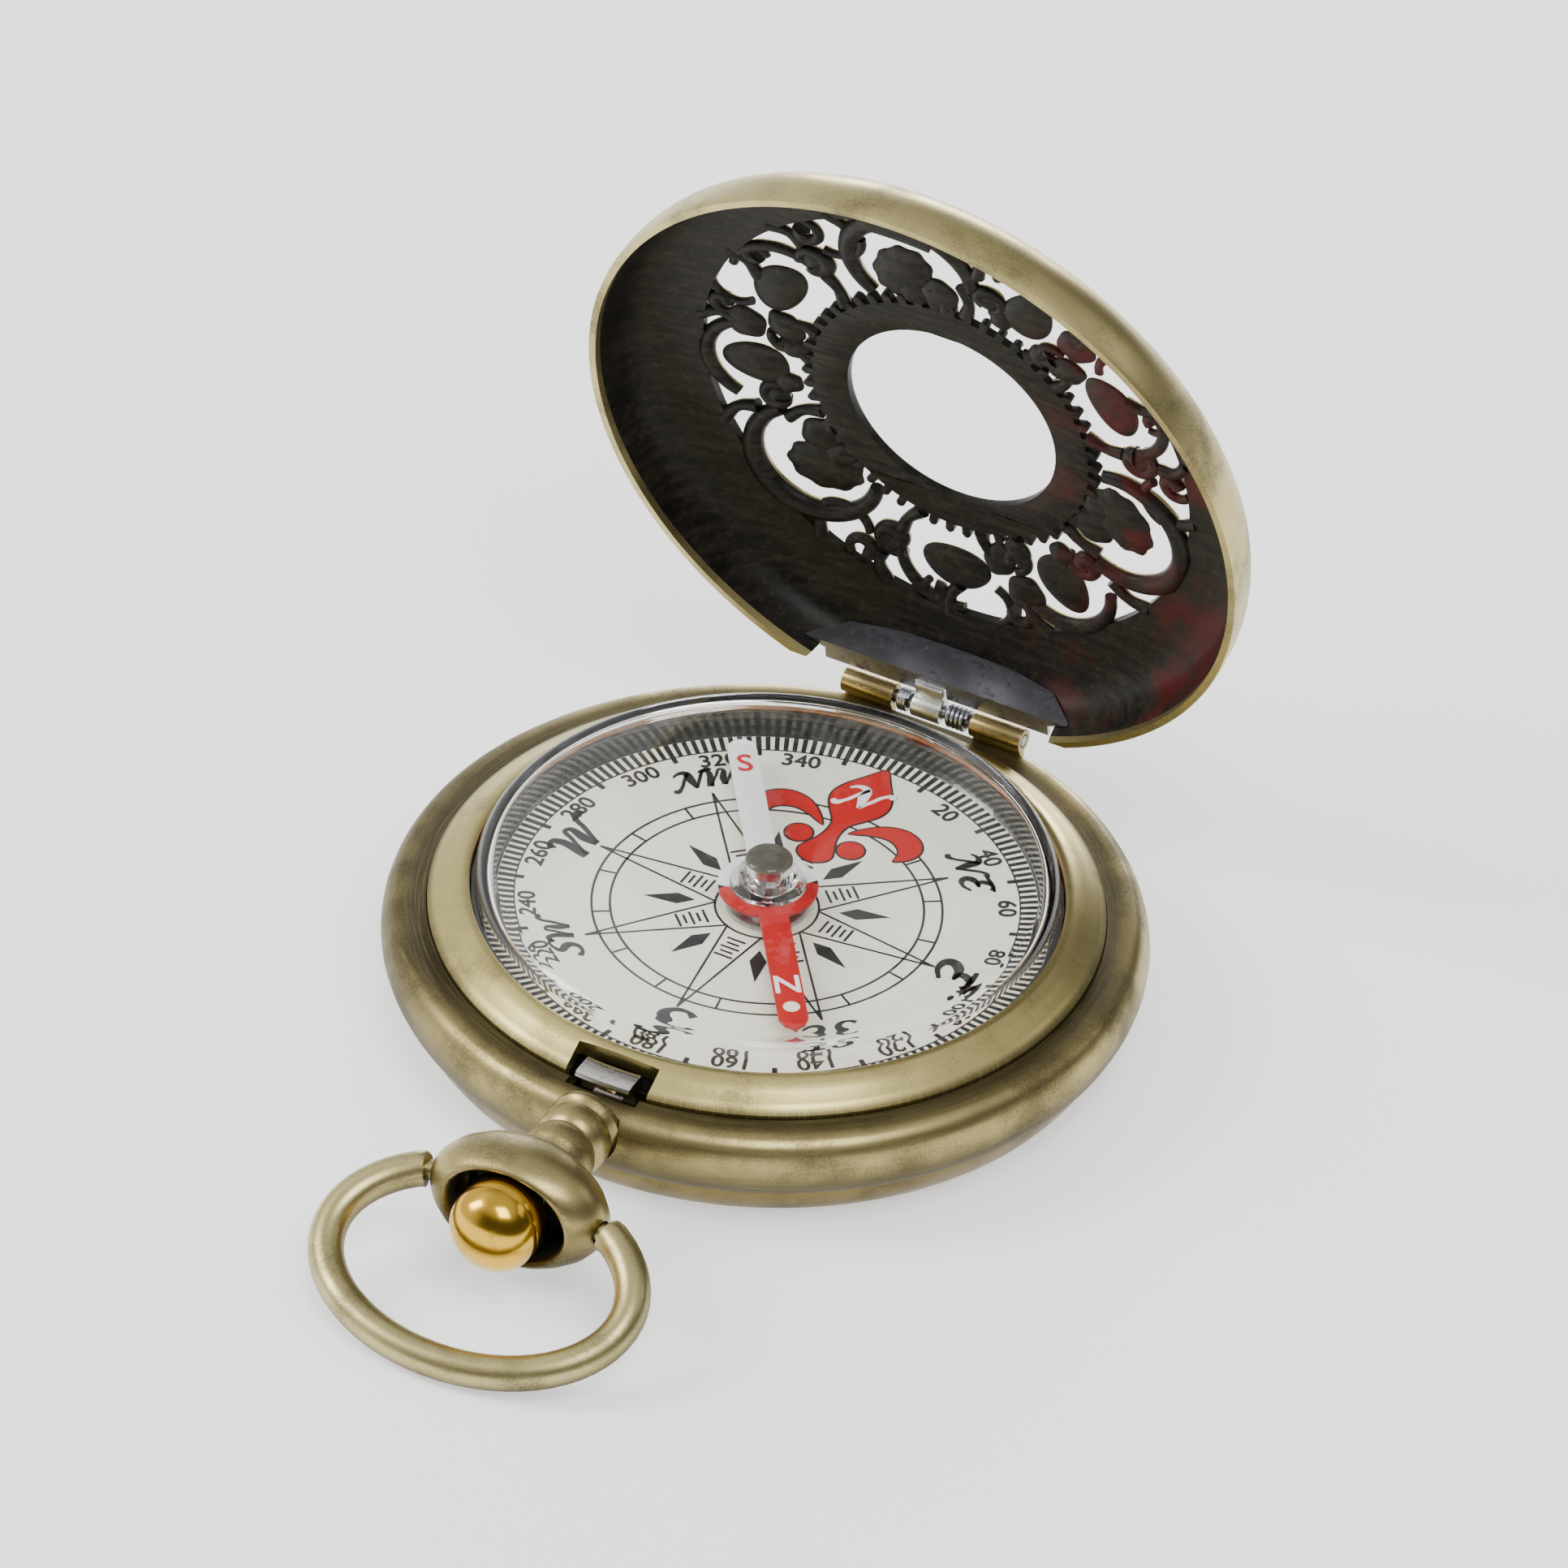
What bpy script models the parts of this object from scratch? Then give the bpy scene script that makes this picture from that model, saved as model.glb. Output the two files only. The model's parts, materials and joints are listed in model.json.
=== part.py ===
"""Flip-lid pocket compass with a sprung openwork lid, a push-button pendant and a wire bow.

Metres, +Z up. The origin is the centre of the flat back. +Y points to the lid hinge and to dial north,
-Y to the pendant. The lid stands open on its stop and the bow hangs with its far end on the table.
"""

import math

import bmesh
import bpy
from mathutils import Matrix, Vector

MM = 0.001

# Fits between neighbours
SEAT = 0.06 * MM
RUN = 0.10 * MM
TABLE_GAP = 0.02 * MM

# Radii, from the crystal outwards
CRYSTAL_R = 17.45 * MM
CRYSTAL_WALL = 0.85 * MM
TRAY_WALL = 0.75 * MM
GASKET_WIDTH = 0.35 * MM
BEZEL_WIDTH = 2.5 * MM
SHOULDER_WIDTH = 1.8 * MM
BAND_BULGE = 0.9 * MM
DIAL_R = CRYSTAL_R - CRYSTAL_WALL - RUN
TRAY_R = CRYSTAL_R + RUN + TRAY_WALL
LEDGE_R = TRAY_R - 1.3 * MM
BEZEL_IN_R = CRYSTAL_R + GASKET_WIDTH
BEZEL_OUT_R = BEZEL_IN_R + BEZEL_WIDTH
BAND_EDGE_R = BEZEL_OUT_R + SHOULDER_WIDTH
CASE_R = BAND_EDGE_R + BAND_BULGE

# Case band
MID_Z = 5.0 * MM
BAND_HALF_H = 2.25 * MM
SHOULDER_DROP = 0.30 * MM
SHOULDER_DISH = 0.08 * MM
LEDGE_THICK = 1.15 * MM
RING_TOP_Z = MID_Z + 1.1 * MM

# Back cover
BACK_RIM_R = CASE_R - 1.2 * MM
BACK_FLAT_R = BACK_RIM_R - 3.0 * MM
BACK_EDGE_ROUND = 1.5 * MM
BACK_WALL = 0.8 * MM
SNAP_R = BACK_RIM_R - 0.9 * MM
SNAP_WALL = 0.7 * MM

# Bezel
BEZEL_TOP_Z = MID_Z + 3.5 * MM
BEZEL_EDGE_Z = MID_Z + 2.33 * MM
BEZEL_SKIRT = 0.55 * MM
BEZEL_PLATE = 0.7 * MM
BEZEL_BULGE = 0.12 * MM
SHOULDER_Z = BEZEL_EDGE_Z - SHOULDER_DROP

# Crystal, dial and tray
CRYSTAL_TOP_Z = MID_Z + 6.5 * MM
CRYSTAL_SHOULDER_Z = MID_Z + 5.4 * MM
CRYSTAL_SHOULDER_FILLET = 1.1 * MM
DIAL_TOP_Z = MID_Z + 1.65 * MM
DIAL_THICK = 0.4 * MM
TRAY_FLOOR = 0.8 * MM
TRAY_RIM_Z = MID_Z + 2.4 * MM
LEDGE_TOP_Z = DIAL_TOP_Z - DIAL_THICK - TRAY_FLOOR - 2 * SEAT
LEDGE_BOTTOM_Z = LEDGE_TOP_Z - LEDGE_THICK

# Needle and pivot, heights above the dial
PIVOT_HOLE_R = 0.8 * MM
PIVOT_BASE_R = 2.45 * MM
PIVOT_BASE_H = 0.3 * MM
PIN_R = 0.32 * MM
PIN_TIP_H = 2.75 * MM
PIN_CONE_H = 1.2 * MM
NEEDLE_H = 1.40 * MM
NEEDLE_THICK = 0.25 * MM
NEEDLE_LENGTH = DIAL_R - 2.4 * MM
NEEDLE_HALF_W = 0.88 * MM
NEEDLE_HUB_R = 3.0 * MM
NEEDLE_BORE_R = 1.2 * MM
NEEDLE_BEARING_DEG = 145.0
CAP_FLANGE_R = NEEDLE_BORE_R + 1.1 * MM
CAP_R = NEEDLE_BORE_R + 0.25 * MM
CAP_TOP_H = 3.7 * MM
CAP_BORE_R = NEEDLE_BORE_R - 0.4 * MM
JEWEL_H = 0.6 * MM

# Hinge
BARREL_R = 0.78 * MM
HINGE_FLAT_Y = CASE_R - 1.88 * MM
HINGE_Y = HINGE_FLAT_Y + 0.28 * MM
HINGE_Z = SHOULDER_Z + BARREL_R - 0.01 * MM
HINGE_PIN_R = 0.36 * MM
BARREL_IN = 2.65 * MM
BARREL_OUT = 6.1 * MM
LID_KNUCKLE_X = (-1.35 * MM, 0.6 * MM)
SPRING_COIL_R = HINGE_PIN_R + 0.26 * MM
SPRING_WIRE_R = 0.11 * MM

# Lid, heights above the plane of its lip
LID_OPEN_DEG = 78.4
LID_R = CASE_R - 1.17 * MM
LID_LIP_Z = SHOULDER_Z + 0.02 * MM
LID_WALL = 0.55 * MM
LID_WALL_H = 2.0 * MM
LID_SHOULDER_R = LID_R - 2.63 * MM
LID_SHOULDER_H = 4.65 * MM
LID_SHOULDER_DROP = 1.0 * MM
LID_CROWN_H = 5.85 * MM
LID_PIERCED_R = LID_SHOULDER_R - 2.87 * MM
LID_PIERCED_H = 5.1 * MM
LID_RING_R = LID_PIERCED_R - 6.93 * MM
LID_WINDOW_R = LID_RING_R - 2.4 * MM
LID_CHORD_Y = HINGE_Y - 1.75 * MM
LID_PLATE = 0.5 * MM
LID_OVER_BEZEL = 0.15 * MM
APRON_HALF = 7.6 * MM
APRON_THICK = 0.3 * MM
MOTIFS = 3
FIRST_MOTIF_DEG = 142.0
OPENWORK_DRAWN_R = 16.33 * MM

# Latch
LATCH_TRAVEL = 0.42 * MM
LATCH_BACK_R = TRAY_R + 0.30 * MM + LATCH_TRAVEL
WINDOW_HALF_W = 2.7 * MM
WINDOW_IN_R = LATCH_BACK_R - LATCH_TRAVEL - RUN
LATCH_HALF_W = WINDOW_HALF_W - 0.9 * MM
LATCH_NOSE_R = BEZEL_OUT_R + 0.45 * MM
LEDGE_IN_R = LATCH_NOSE_R - LATCH_TRAVEL + 0.09 * MM
LEDGE_H = 0.33 * MM
LATCH_ARC_R = LATCH_BACK_R + 0.03 * MM
LATCH_SCREW_DEG = -132.0
LATCH_SPRING_H = 0.4 * MM

# Pendant, button and bow, distances from the case's centre
PENDANT_Z = MID_Z + 0.7 * MM
NECK_BEAD_R = 2.25 * MM
NECK_START = CASE_R - 0.8 * MM
NECK_END = NECK_START + 5.4 * MM
BUTTON_R = 2.75 * MM
BUTTON_LENGTH = 4.1 * MM
CUP_HALF_W = BUTTON_R + 3.1 * MM
CUP_HALF_H = BUTTON_R + 1.1 * MM
CUP_FRONT = NECK_END + 5.0 * MM
CUP_WIDEST = NECK_END + 3.1 * MM
CUP_FLOOR = NECK_END + 1.6 * MM
BUTTON_BACK = CUP_FLOOR + 2.5 * MM
BUTTON_FRONT = BUTTON_BACK + BUTTON_LENGTH
BUTTON_SPRING_R = 1.3 * MM
BUTTON_WIRE_R = 0.16 * MM
ROD_R = 0.45 * MM
ROD_TIP = BEZEL_OUT_R - 0.25 * MM
BOW_WIRE_R = 1.08 * MM
BOW_PIN_R = 0.65 * MM
BOW_HALF_W = CUP_HALF_W + 3.86 * MM
BOW_HALF_L = 6.43 * MM
BOW_CENTRE = 5.05 * MM
BOW_Y = -NECK_END - 3.25 * MM
BOW_REACH = BOW_CENTRE + BOW_HALF_L
BOW_DROOP = math.asin((PENDANT_Z - BOW_WIRE_R - TABLE_GAP) / BOW_REACH)

OUTER_STEPS = 56
INNER_STEPS = 44

COLOURS = {
    "antique_brass": ((0.47, 0.41, 0.27), 0.38, 1.0),
    "bright_brass": ((0.72, 0.53, 0.20), 0.28, 1.0),
    "steel": ((0.45, 0.46, 0.50), 0.35, 1.0),
    "crystal": ((0.92, 0.95, 0.93), 0.03, 0.0),
    "dial_white": ((0.80, 0.79, 0.70), 0.5, 0.0),
    "black_plastic": ((0.02, 0.02, 0.02), 0.4, 0.0),
    "needle_red": ((0.75, 0.04, 0.02), 0.35, 0.0),
    "jewel_red": ((0.45, 0.02, 0.05), 0.1, 0.0),
}


def clear_scene():
    for obj in list(bpy.data.objects):
        bpy.data.objects.remove(obj, do_unlink=True)


def make_material(name):
    colour, roughness, metallic = COLOURS[name]
    material = bpy.data.materials.new(name)
    material.use_nodes = True
    shader = material.node_tree.nodes["Principled BSDF"]
    shader.inputs["Base Color"].default_value = (*colour, 1.0)
    shader.inputs["Roughness"].default_value = roughness
    shader.inputs["Metallic"].default_value = metallic
    return material


clear_scene()
MATERIALS = {name: make_material(name) for name in COLOURS}
PARTS = bpy.data.collections.new("pocket_compass")
CUTTERS = bpy.data.collections.new("cutters")
bpy.context.scene.collection.children.link(PARTS)
bpy.context.scene.collection.children.link(CUTTERS)


# Placing and joining


def add_object(name, data, material=None):
    """A visible part when it has a material, otherwise a hidden cutter."""
    obj = bpy.data.objects.new(name, data)
    if material:
        PARTS.objects.link(obj)
        data.materials.append(MATERIALS[material])
    else:
        CUTTERS.objects.link(obj)
        obj.hide_render = True
        obj.display_type = "WIRE"
    return obj


def combine(target, other, operation="DIFFERENCE", self_overlap=False):
    modifier = target.modifiers.new(operation.title() + " " + other.name, "BOOLEAN")
    modifier.operation = operation
    modifier.solver = "EXACT"
    modifier.use_self = self_overlap
    modifier.object = other
    return target


def add_axis(name, location):
    empty = bpy.data.objects.new(name, None)
    PARTS.objects.link(empty)
    empty.location = location
    empty.empty_display_size = 3 * MM
    return empty


def hang_on(axis, *objects):
    """Parents the objects to the axis and keeps them where they are while it is unturned."""
    for obj in objects:
        obj.parent = axis
        obj.matrix_parent_inverse = Matrix.Translation(axis.location).inverted()


def turned(name, profile, material=None, steps=OUTER_STEPS, ring=True):
    """A lathe-turned piece about Z. The profile runs down the outer side; a ring's profile closes on itself."""
    mesh = bpy.data.meshes.new(name)
    count = len(profile)
    edges = [(i, i + 1) for i in range(count - 1)]
    if ring:
        edges.append((count - 1, 0))
    mesh.from_pydata([(r, 0.0, z) for r, z in profile], edges, [])
    obj = add_object(name, mesh, material)
    screw = obj.modifiers.new("Turn", "SCREW")
    screw.axis = "Z"
    screw.steps = steps
    screw.render_steps = steps
    screw.use_merge_vertices = True
    screw.merge_threshold = 0.000001
    screw.use_smooth_shade = True
    return obj


def along_minus_y(obj, height):
    """Turns a piece made about Z so that its +Z points to -Y at the given height."""
    obj.rotation_euler = (math.pi / 2, 0, 0)
    obj.location = (0, 0, height)
    return obj


def along_x(obj, y, z):
    obj.rotation_euler = (0, math.pi / 2, 0)
    obj.location = (0, y, z)
    return obj


def cylinder(name, radius, start, end, material=None, steps=16):
    return turned(name, [(0, end), (radius, end), (radius, start), (0, start)], material, steps, ring=False)


def tube(name, outer, inner, start, end, material=None, steps=16):
    return turned(name, [(inner, end), (outer, end), (outer, start), (inner, start)], material, steps)


def box(name, low, high, material=None):
    mesh = bpy.data.meshes.new(name)
    shape = bmesh.new()
    bmesh.ops.create_cube(shape, size=1.0)
    size = Vector(high) - Vector(low)
    centre = (Vector(high) + Vector(low)) / 2
    bmesh.ops.scale(shape, vec=size, verts=shape.verts)
    bmesh.ops.translate(shape, vec=centre, verts=shape.verts)
    shape.to_mesh(mesh)
    shape.free()
    return add_object(name, mesh, material)


def mesh_from_curve(name, curve, material=None):
    """The curve's solid as a mesh object with its loose caps welded."""
    holder = bpy.data.objects.new(name + "_curve", curve)
    bpy.context.scene.collection.objects.link(holder)
    bpy.context.view_layer.update()
    graph = bpy.context.evaluated_depsgraph_get()
    mesh = bpy.data.meshes.new_from_object(holder.evaluated_get(graph))
    mesh.name = name
    shape = bmesh.new()
    shape.from_mesh(mesh)
    bmesh.ops.remove_doubles(shape, verts=shape.verts, dist=0.000001)
    bmesh.ops.recalc_face_normals(shape, faces=shape.faces)
    shape.to_mesh(mesh)
    shape.free()
    mesh.materials.clear()
    bpy.data.objects.remove(holder, do_unlink=True)
    return add_object(name, mesh, material)


def plate(name, outlines, low, high, material=None):
    """Flat outlines, each a list of (x, y), extruded from low to high."""
    merged = bmesh.new()
    for number, outline in enumerate(outlines):
        curve = bpy.data.curves.new(f"{name}_{number}", "CURVE")
        curve.dimensions = "2D"
        curve.fill_mode = "BOTH"
        curve.extrude = (high - low) / 2
        spline = curve.splines.new("POLY")
        spline.points.add(len(outline) - 1)
        for point, (x, y) in zip(spline.points, outline):
            point.co = (x, y, 0, 1)
        spline.use_cyclic_u = True
        solid = mesh_from_curve(f"{name}_{number}", curve)
        merged.from_mesh(solid.data)
        bpy.data.objects.remove(solid, do_unlink=True)
    bmesh.ops.translate(merged, vec=(0, 0, (low + high) / 2), verts=merged.verts)
    mesh = bpy.data.meshes.new(name)
    merged.to_mesh(mesh)
    merged.free()
    return add_object(name, mesh, material)


def wire(name, points, radius, material=None, resolution=1, radii=None):
    """A round wire through the points, its ends capped."""
    curve = bpy.data.curves.new(name, "CURVE")
    curve.dimensions = "3D"
    curve.bevel_depth = radius
    curve.bevel_resolution = resolution
    curve.use_fill_caps = True
    spline = curve.splines.new("POLY")
    spline.points.add(len(points) - 1)
    for number, (point, place) in enumerate(zip(spline.points, points)):
        point.co = (*place, 1)
        point.radius = radii[number] if radii else 1.0
    return mesh_from_curve(name, curve, material)


def loft(name, stations, material=None, sides=28):
    """Ellipses across -Y, each (distance, half width, half height), bridged in order and closed at both ends."""
    shape = bmesh.new()
    rings = []
    for distance, half_w, half_h in stations:
        turns = [math.tau * i / sides for i in range(sides)]
        ring = [shape.verts.new((half_w * math.cos(t), -distance, half_h * math.sin(t))) for t in turns]
        rings.append(ring)
    for near, far in zip(rings, rings[1:]):
        for i in range(sides):
            j = (i + 1) % sides
            shape.faces.new((near[i], near[j], far[j], far[i]))
    shape.faces.new(rings[0])
    shape.faces.new(rings[-1])
    bmesh.ops.recalc_face_normals(shape, faces=shape.faces)
    mesh = bpy.data.meshes.new(name)
    shape.to_mesh(mesh)
    shape.free()
    return add_object(name, mesh, material)


def arc(centre, radius, start, end, count):
    """Points on an arc in the plane of a profile, angles in degrees."""
    angles = [math.radians(start + (end - start) * i / (count - 1)) for i in range(count)]
    return [(centre[0] + radius * math.cos(a), centre[1] + radius * math.sin(a)) for a in angles]


# Case


def make_mid_case():
    rebate_r = BEZEL_OUT_R + SEAT
    band = [
        (CASE_R - (CASE_R - BAND_EDGE_R) * (1 - math.cos(a)) / (1 - math.cos(math.pi / 3)), MID_Z + BAND_HALF_H * f)
        for a, f in ((math.pi / 3 * t, t) for t in (0.86, 0.5, 0.0, -0.5, -0.86, -1.0))
    ]
    profile = [
        (rebate_r, SHOULDER_Z),
        ((rebate_r + BAND_EDGE_R) / 2, SHOULDER_Z - SHOULDER_DISH),
        (BAND_EDGE_R - 0.1 * MM, SHOULDER_Z + 0.02 * MM),
        *band,
        (SNAP_R + SEAT, MID_Z - BAND_HALF_H),
        (SNAP_R + SEAT, LEDGE_BOTTOM_Z),
        (LEDGE_R, LEDGE_BOTTOM_Z),
        (LEDGE_R, LEDGE_TOP_Z),
        (TRAY_R + SEAT, LEDGE_TOP_Z),
        (TRAY_R + SEAT, RING_TOP_Z),
        (rebate_r, RING_TOP_Z),
    ]
    case = turned("mid_case", profile, "antique_brass")
    combine(case, box("hinge_flat", (-CASE_R, HINGE_FLAT_Y, 0), (CASE_R, CASE_R * 1.2, CASE_R)))
    combine(case, along_minus_y(cylinder("neck_seat", NECK_BEAD_R, NECK_START - SEAT, CASE_R * 1.2, steps=24), PENDANT_Z))
    combine(case, along_minus_y(cylinder("rod_bore", ROD_R + RUN, LEDGE_R + MM, CASE_R * 1.1), PENDANT_Z))
    combine(case, latch_slot())
    return combine(case, latch_screw_shape("screw_hole", RUN))


def latch_slot():
    """The pocket under the bezel window, where the latch's tail meets the push rod."""
    low = (-LATCH_HALF_W - RUN, -BEZEL_OUT_R, LEDGE_TOP_Z - 0.4 * MM)
    high = (LATCH_HALF_W + RUN, -TRAY_R - 2 * SEAT, RING_TOP_Z + MM)
    return box("latch_slot", low, high)


def make_back_cover():
    seam_z = MID_Z - BAND_HALF_H - SEAT
    low_r = BACK_RIM_R - 0.4 * MM
    foot_z = BACK_EDGE_ROUND
    outside = [(BACK_RIM_R, seam_z), (low_r, foot_z), (low_r - 0.85 * MM, foot_z * 0.36), (BACK_FLAT_R, 0)]
    inside = [
        (BACK_FLAT_R - BACK_WALL, BACK_WALL),
        (SNAP_R - SNAP_WALL, seam_z * 0.5),
        (SNAP_R - SNAP_WALL, LEDGE_BOTTOM_Z - SEAT),
        (SNAP_R, LEDGE_BOTTOM_Z - SEAT),
        (SNAP_R, seam_z),
    ]
    profile = [*outside, (0, 0), (0, BACK_WALL), *inside]
    return turned("back_cover", profile, "antique_brass")


def bezel_height(radius):
    """Height of the bezel's sloping face, its bulge included."""
    share = (BEZEL_OUT_R - radius) / BEZEL_WIDTH
    return BEZEL_EDGE_Z + (BEZEL_TOP_Z - BEZEL_EDGE_Z) * share + BEZEL_BULGE


def make_bezel():
    under_z = BEZEL_TOP_Z - BEZEL_PLATE
    skirt_r = BEZEL_OUT_R - BEZEL_SKIRT
    bottom_z = RING_TOP_Z + SEAT
    slope = (BEZEL_TOP_Z - BEZEL_EDGE_Z) / BEZEL_WIDTH
    profile = [
        (BEZEL_IN_R, BEZEL_TOP_Z),
        (BEZEL_IN_R + 0.2 * MM, BEZEL_TOP_Z + 0.04 * MM),
        (BEZEL_IN_R + BEZEL_WIDTH / 2, bezel_height(BEZEL_IN_R + BEZEL_WIDTH / 2)),
        (BEZEL_OUT_R - 0.15 * MM, BEZEL_EDGE_Z + 0.16 * MM),
        (BEZEL_OUT_R, BEZEL_EDGE_Z),
        (BEZEL_OUT_R, bottom_z),
        (skirt_r, bottom_z),
        (skirt_r, under_z - slope * (skirt_r - BEZEL_IN_R)),
        (BEZEL_IN_R, under_z),
    ]
    bezel = turned("bezel", profile, "antique_brass")
    low = (-WINDOW_HALF_W, -CASE_R, RING_TOP_Z - MM)
    high = (WINDOW_HALF_W, -WINDOW_IN_R, BEZEL_TOP_Z + MM)
    return combine(bezel, box("latch_window", low, high))


def make_crystal():
    """A domed glass cap with a rounded shoulder and a straight wall, open below."""

    def dome(radius, drop):
        share = radius / (CRYSTAL_R - CRYSTAL_SHOULDER_FILLET)
        return CRYSTAL_TOP_Z - drop - (CRYSTAL_TOP_Z - CRYSTAL_SHOULDER_Z) * share**2

    fillet = CRYSTAL_SHOULDER_FILLET
    corner_r = CRYSTAL_R - fillet
    foot_z = DIAL_TOP_Z - DIAL_THICK + SEAT
    inner_r = CRYSTAL_R - CRYSTAL_WALL
    radii = [corner_r * share for share in (0.35, 0.7)]
    corner = arc((corner_r, CRYSTAL_SHOULDER_Z - fillet), fillet, 90, 0, 5)
    inner_corner = arc((inner_r - 0.4 * MM, dome(corner_r, CRYSTAL_WALL) - 0.4 * MM), 0.4 * MM, 0, 90, 3)
    profile = [(0, CRYSTAL_TOP_Z), *[(r, dome(r, 0)) for r in radii], *corner]
    profile += [(CRYSTAL_R, foot_z), (inner_r, foot_z), *inner_corner]
    profile += [*[(r, dome(r, CRYSTAL_WALL)) for r in reversed(radii)], (0, CRYSTAL_TOP_Z - CRYSTAL_WALL)]
    return turned("crystal", profile, "crystal", INNER_STEPS, ring=False)


def make_gasket():
    low = TRAY_RIM_Z + SEAT
    return tube("crystal_gasket", BEZEL_IN_R - SEAT, CRYSTAL_R + SEAT, low, low + 0.6 * MM, "black_plastic", INNER_STEPS)


def make_dial():
    return tube("dial_plate", DIAL_R, PIVOT_HOLE_R + SEAT, DIAL_TOP_Z - DIAL_THICK, DIAL_TOP_Z, "dial_white", INNER_STEPS)


def make_tray():
    """The black cup that holds the dial, closes the crystal from below and rests on the case's ledge."""
    floor_z = DIAL_TOP_Z - DIAL_THICK - SEAT
    bottom_z = floor_z - TRAY_FLOOR
    profile = [
        (TRAY_R - TRAY_WALL, TRAY_RIM_Z),
        (TRAY_R, TRAY_RIM_Z),
        (TRAY_R, bottom_z),
        (PIVOT_HOLE_R + SEAT, bottom_z),
        (PIVOT_HOLE_R + SEAT, floor_z),
        (TRAY_R - TRAY_WALL, floor_z),
    ]
    return turned("capsule_tray", profile, "black_plastic", INNER_STEPS)


def make_pivot():
    top = DIAL_TOP_Z + SEAT + PIVOT_BASE_H
    bore = PIN_R + SEAT
    stem_z = DIAL_TOP_Z - DIAL_THICK - TRAY_FLOOR
    base_profile = [
        (bore, top),
        (PIVOT_BASE_R - 0.15 * MM, top),
        (PIVOT_BASE_R, top - 0.12 * MM),
        (PIVOT_BASE_R, DIAL_TOP_Z + SEAT),
        (PIVOT_HOLE_R, DIAL_TOP_Z + SEAT),
        (PIVOT_HOLE_R, stem_z),
        (bore, stem_z),
    ]
    turned("pivot_base", base_profile, "steel", 28)
    tip_z = DIAL_TOP_Z + PIN_TIP_H
    shank_z = tip_z - PIN_CONE_H
    turned("pivot_pin", [(0, tip_z), (PIN_R, shank_z), (PIN_R, stem_z), (0, stem_z)], "steel", 12, ring=False)


# Needle


def needle_outline():
    """Both arms and the hub: square-shouldered arms with a nib on the north end and a round south end."""
    half = NEEDLE_HALF_W
    root = math.degrees(math.asin(half / NEEDLE_HUB_R))
    nib = [(half, NEEDLE_LENGTH - 1.3 * MM), (0.25 * MM, NEEDLE_LENGTH - 0.3 * MM), (0, NEEDLE_LENGTH)]
    nib += [(-x, y) for x, y in reversed(nib[:-1])]
    left = arc((0, 0), NEEDLE_HUB_R, 90 + root, 270 - root, 8)
    tail = arc((0, half - NEEDLE_LENGTH), half, 180, 360, 7)
    right = arc((0, 0), NEEDLE_HUB_R, 270 + root, 450 - root, 8)
    return nib + left + tail + right


def make_needle():
    low = DIAL_TOP_Z + NEEDLE_H
    high = low + NEEDLE_THICK
    blade = plate("needle_blade", [needle_outline()], low, high, "needle_red")
    combine(blade, cylinder("needle_bore", NEEDLE_BORE_R, low - MM, high + MM, steps=24))
    top = DIAL_TOP_Z + CAP_TOP_H
    seat = high + SEAT
    roof = top - 0.5 * MM
    spigot_r = NEEDLE_BORE_R - SEAT
    profile = [
        (0, top),
        (CAP_R - 0.1 * MM, top),
        (CAP_R, top - 0.1 * MM),
        (CAP_R, top - 0.8 * MM),
        (CAP_R + 0.3 * MM, top - 1.0 * MM),
        (CAP_R + 0.3 * MM, seat + 0.35 * MM),
        (CAP_FLANGE_R, seat + 0.25 * MM),
        (CAP_FLANGE_R, seat),
        (spigot_r, seat),
        (spigot_r, low),
        (CAP_BORE_R, low),
        (CAP_BORE_R, roof),
        (0, roof),
    ]
    cap = turned("needle_cap", profile, "crystal", 28, ring=False)
    jewel_top = roof - SEAT
    dimple = DIAL_TOP_Z + PIN_TIP_H + SEAT
    jewel_profile = [
        (0, jewel_top),
        (CAP_BORE_R - SEAT, jewel_top),
        (CAP_BORE_R - SEAT, jewel_top - JEWEL_H),
        (PIN_R + SEAT, jewel_top - JEWEL_H),
        (0, dimple),
    ]
    jewel = turned("bearing_jewel", jewel_profile, "jewel_red", 16, ring=False)
    axis = add_axis("needle_axis", (0, 0, DIAL_TOP_Z))
    hang_on(axis, blade, cap, jewel, bpy.data.objects["needle_bore"])
    axis.rotation_euler = (0, 0, -math.radians(NEEDLE_BEARING_DEG))


# Hinge


def make_case_knuckle(side, name):
    """A barrel brazed to the case band by a short foot, bored for the hinge pin."""
    start, end = sorted((side * BARREL_IN, side * BARREL_OUT))
    barrel = along_x(cylinder(name, BARREL_R, start, end, "bright_brass", 18), HINGE_Y, HINGE_Z)
    low = (start, HINGE_FLAT_Y + SEAT, MID_Z + 1.2 * MM)
    high = (end, HINGE_Y + BARREL_R * 0.9, HINGE_Z)
    combine(barrel, box(name + "_foot", low, high), "UNION")
    bore = along_x(cylinder(name + "_bore", HINGE_PIN_R + SEAT, start - MM, end + MM, steps=14), HINGE_Y, HINGE_Z)
    return combine(barrel, bore)


def lid_spring_points(start, end, turns, tail):
    """A torsion spring's coil round the hinge pin, with one end laid against the case and one against the lid."""
    steps = int(turns * 10)
    points = []
    for i in range(steps + 1):
        share = i / steps
        angle = math.radians(-80) + math.tau * turns * share
        x = start + (end - start) * share
        points.append((x, HINGE_Y + SPRING_COIL_R * math.cos(angle), HINGE_Z + SPRING_COIL_R * math.sin(angle)))
    last = points[-1]
    points.append((last[0], last[1] - tail * 0.3, last[2] + tail))
    return points


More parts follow.
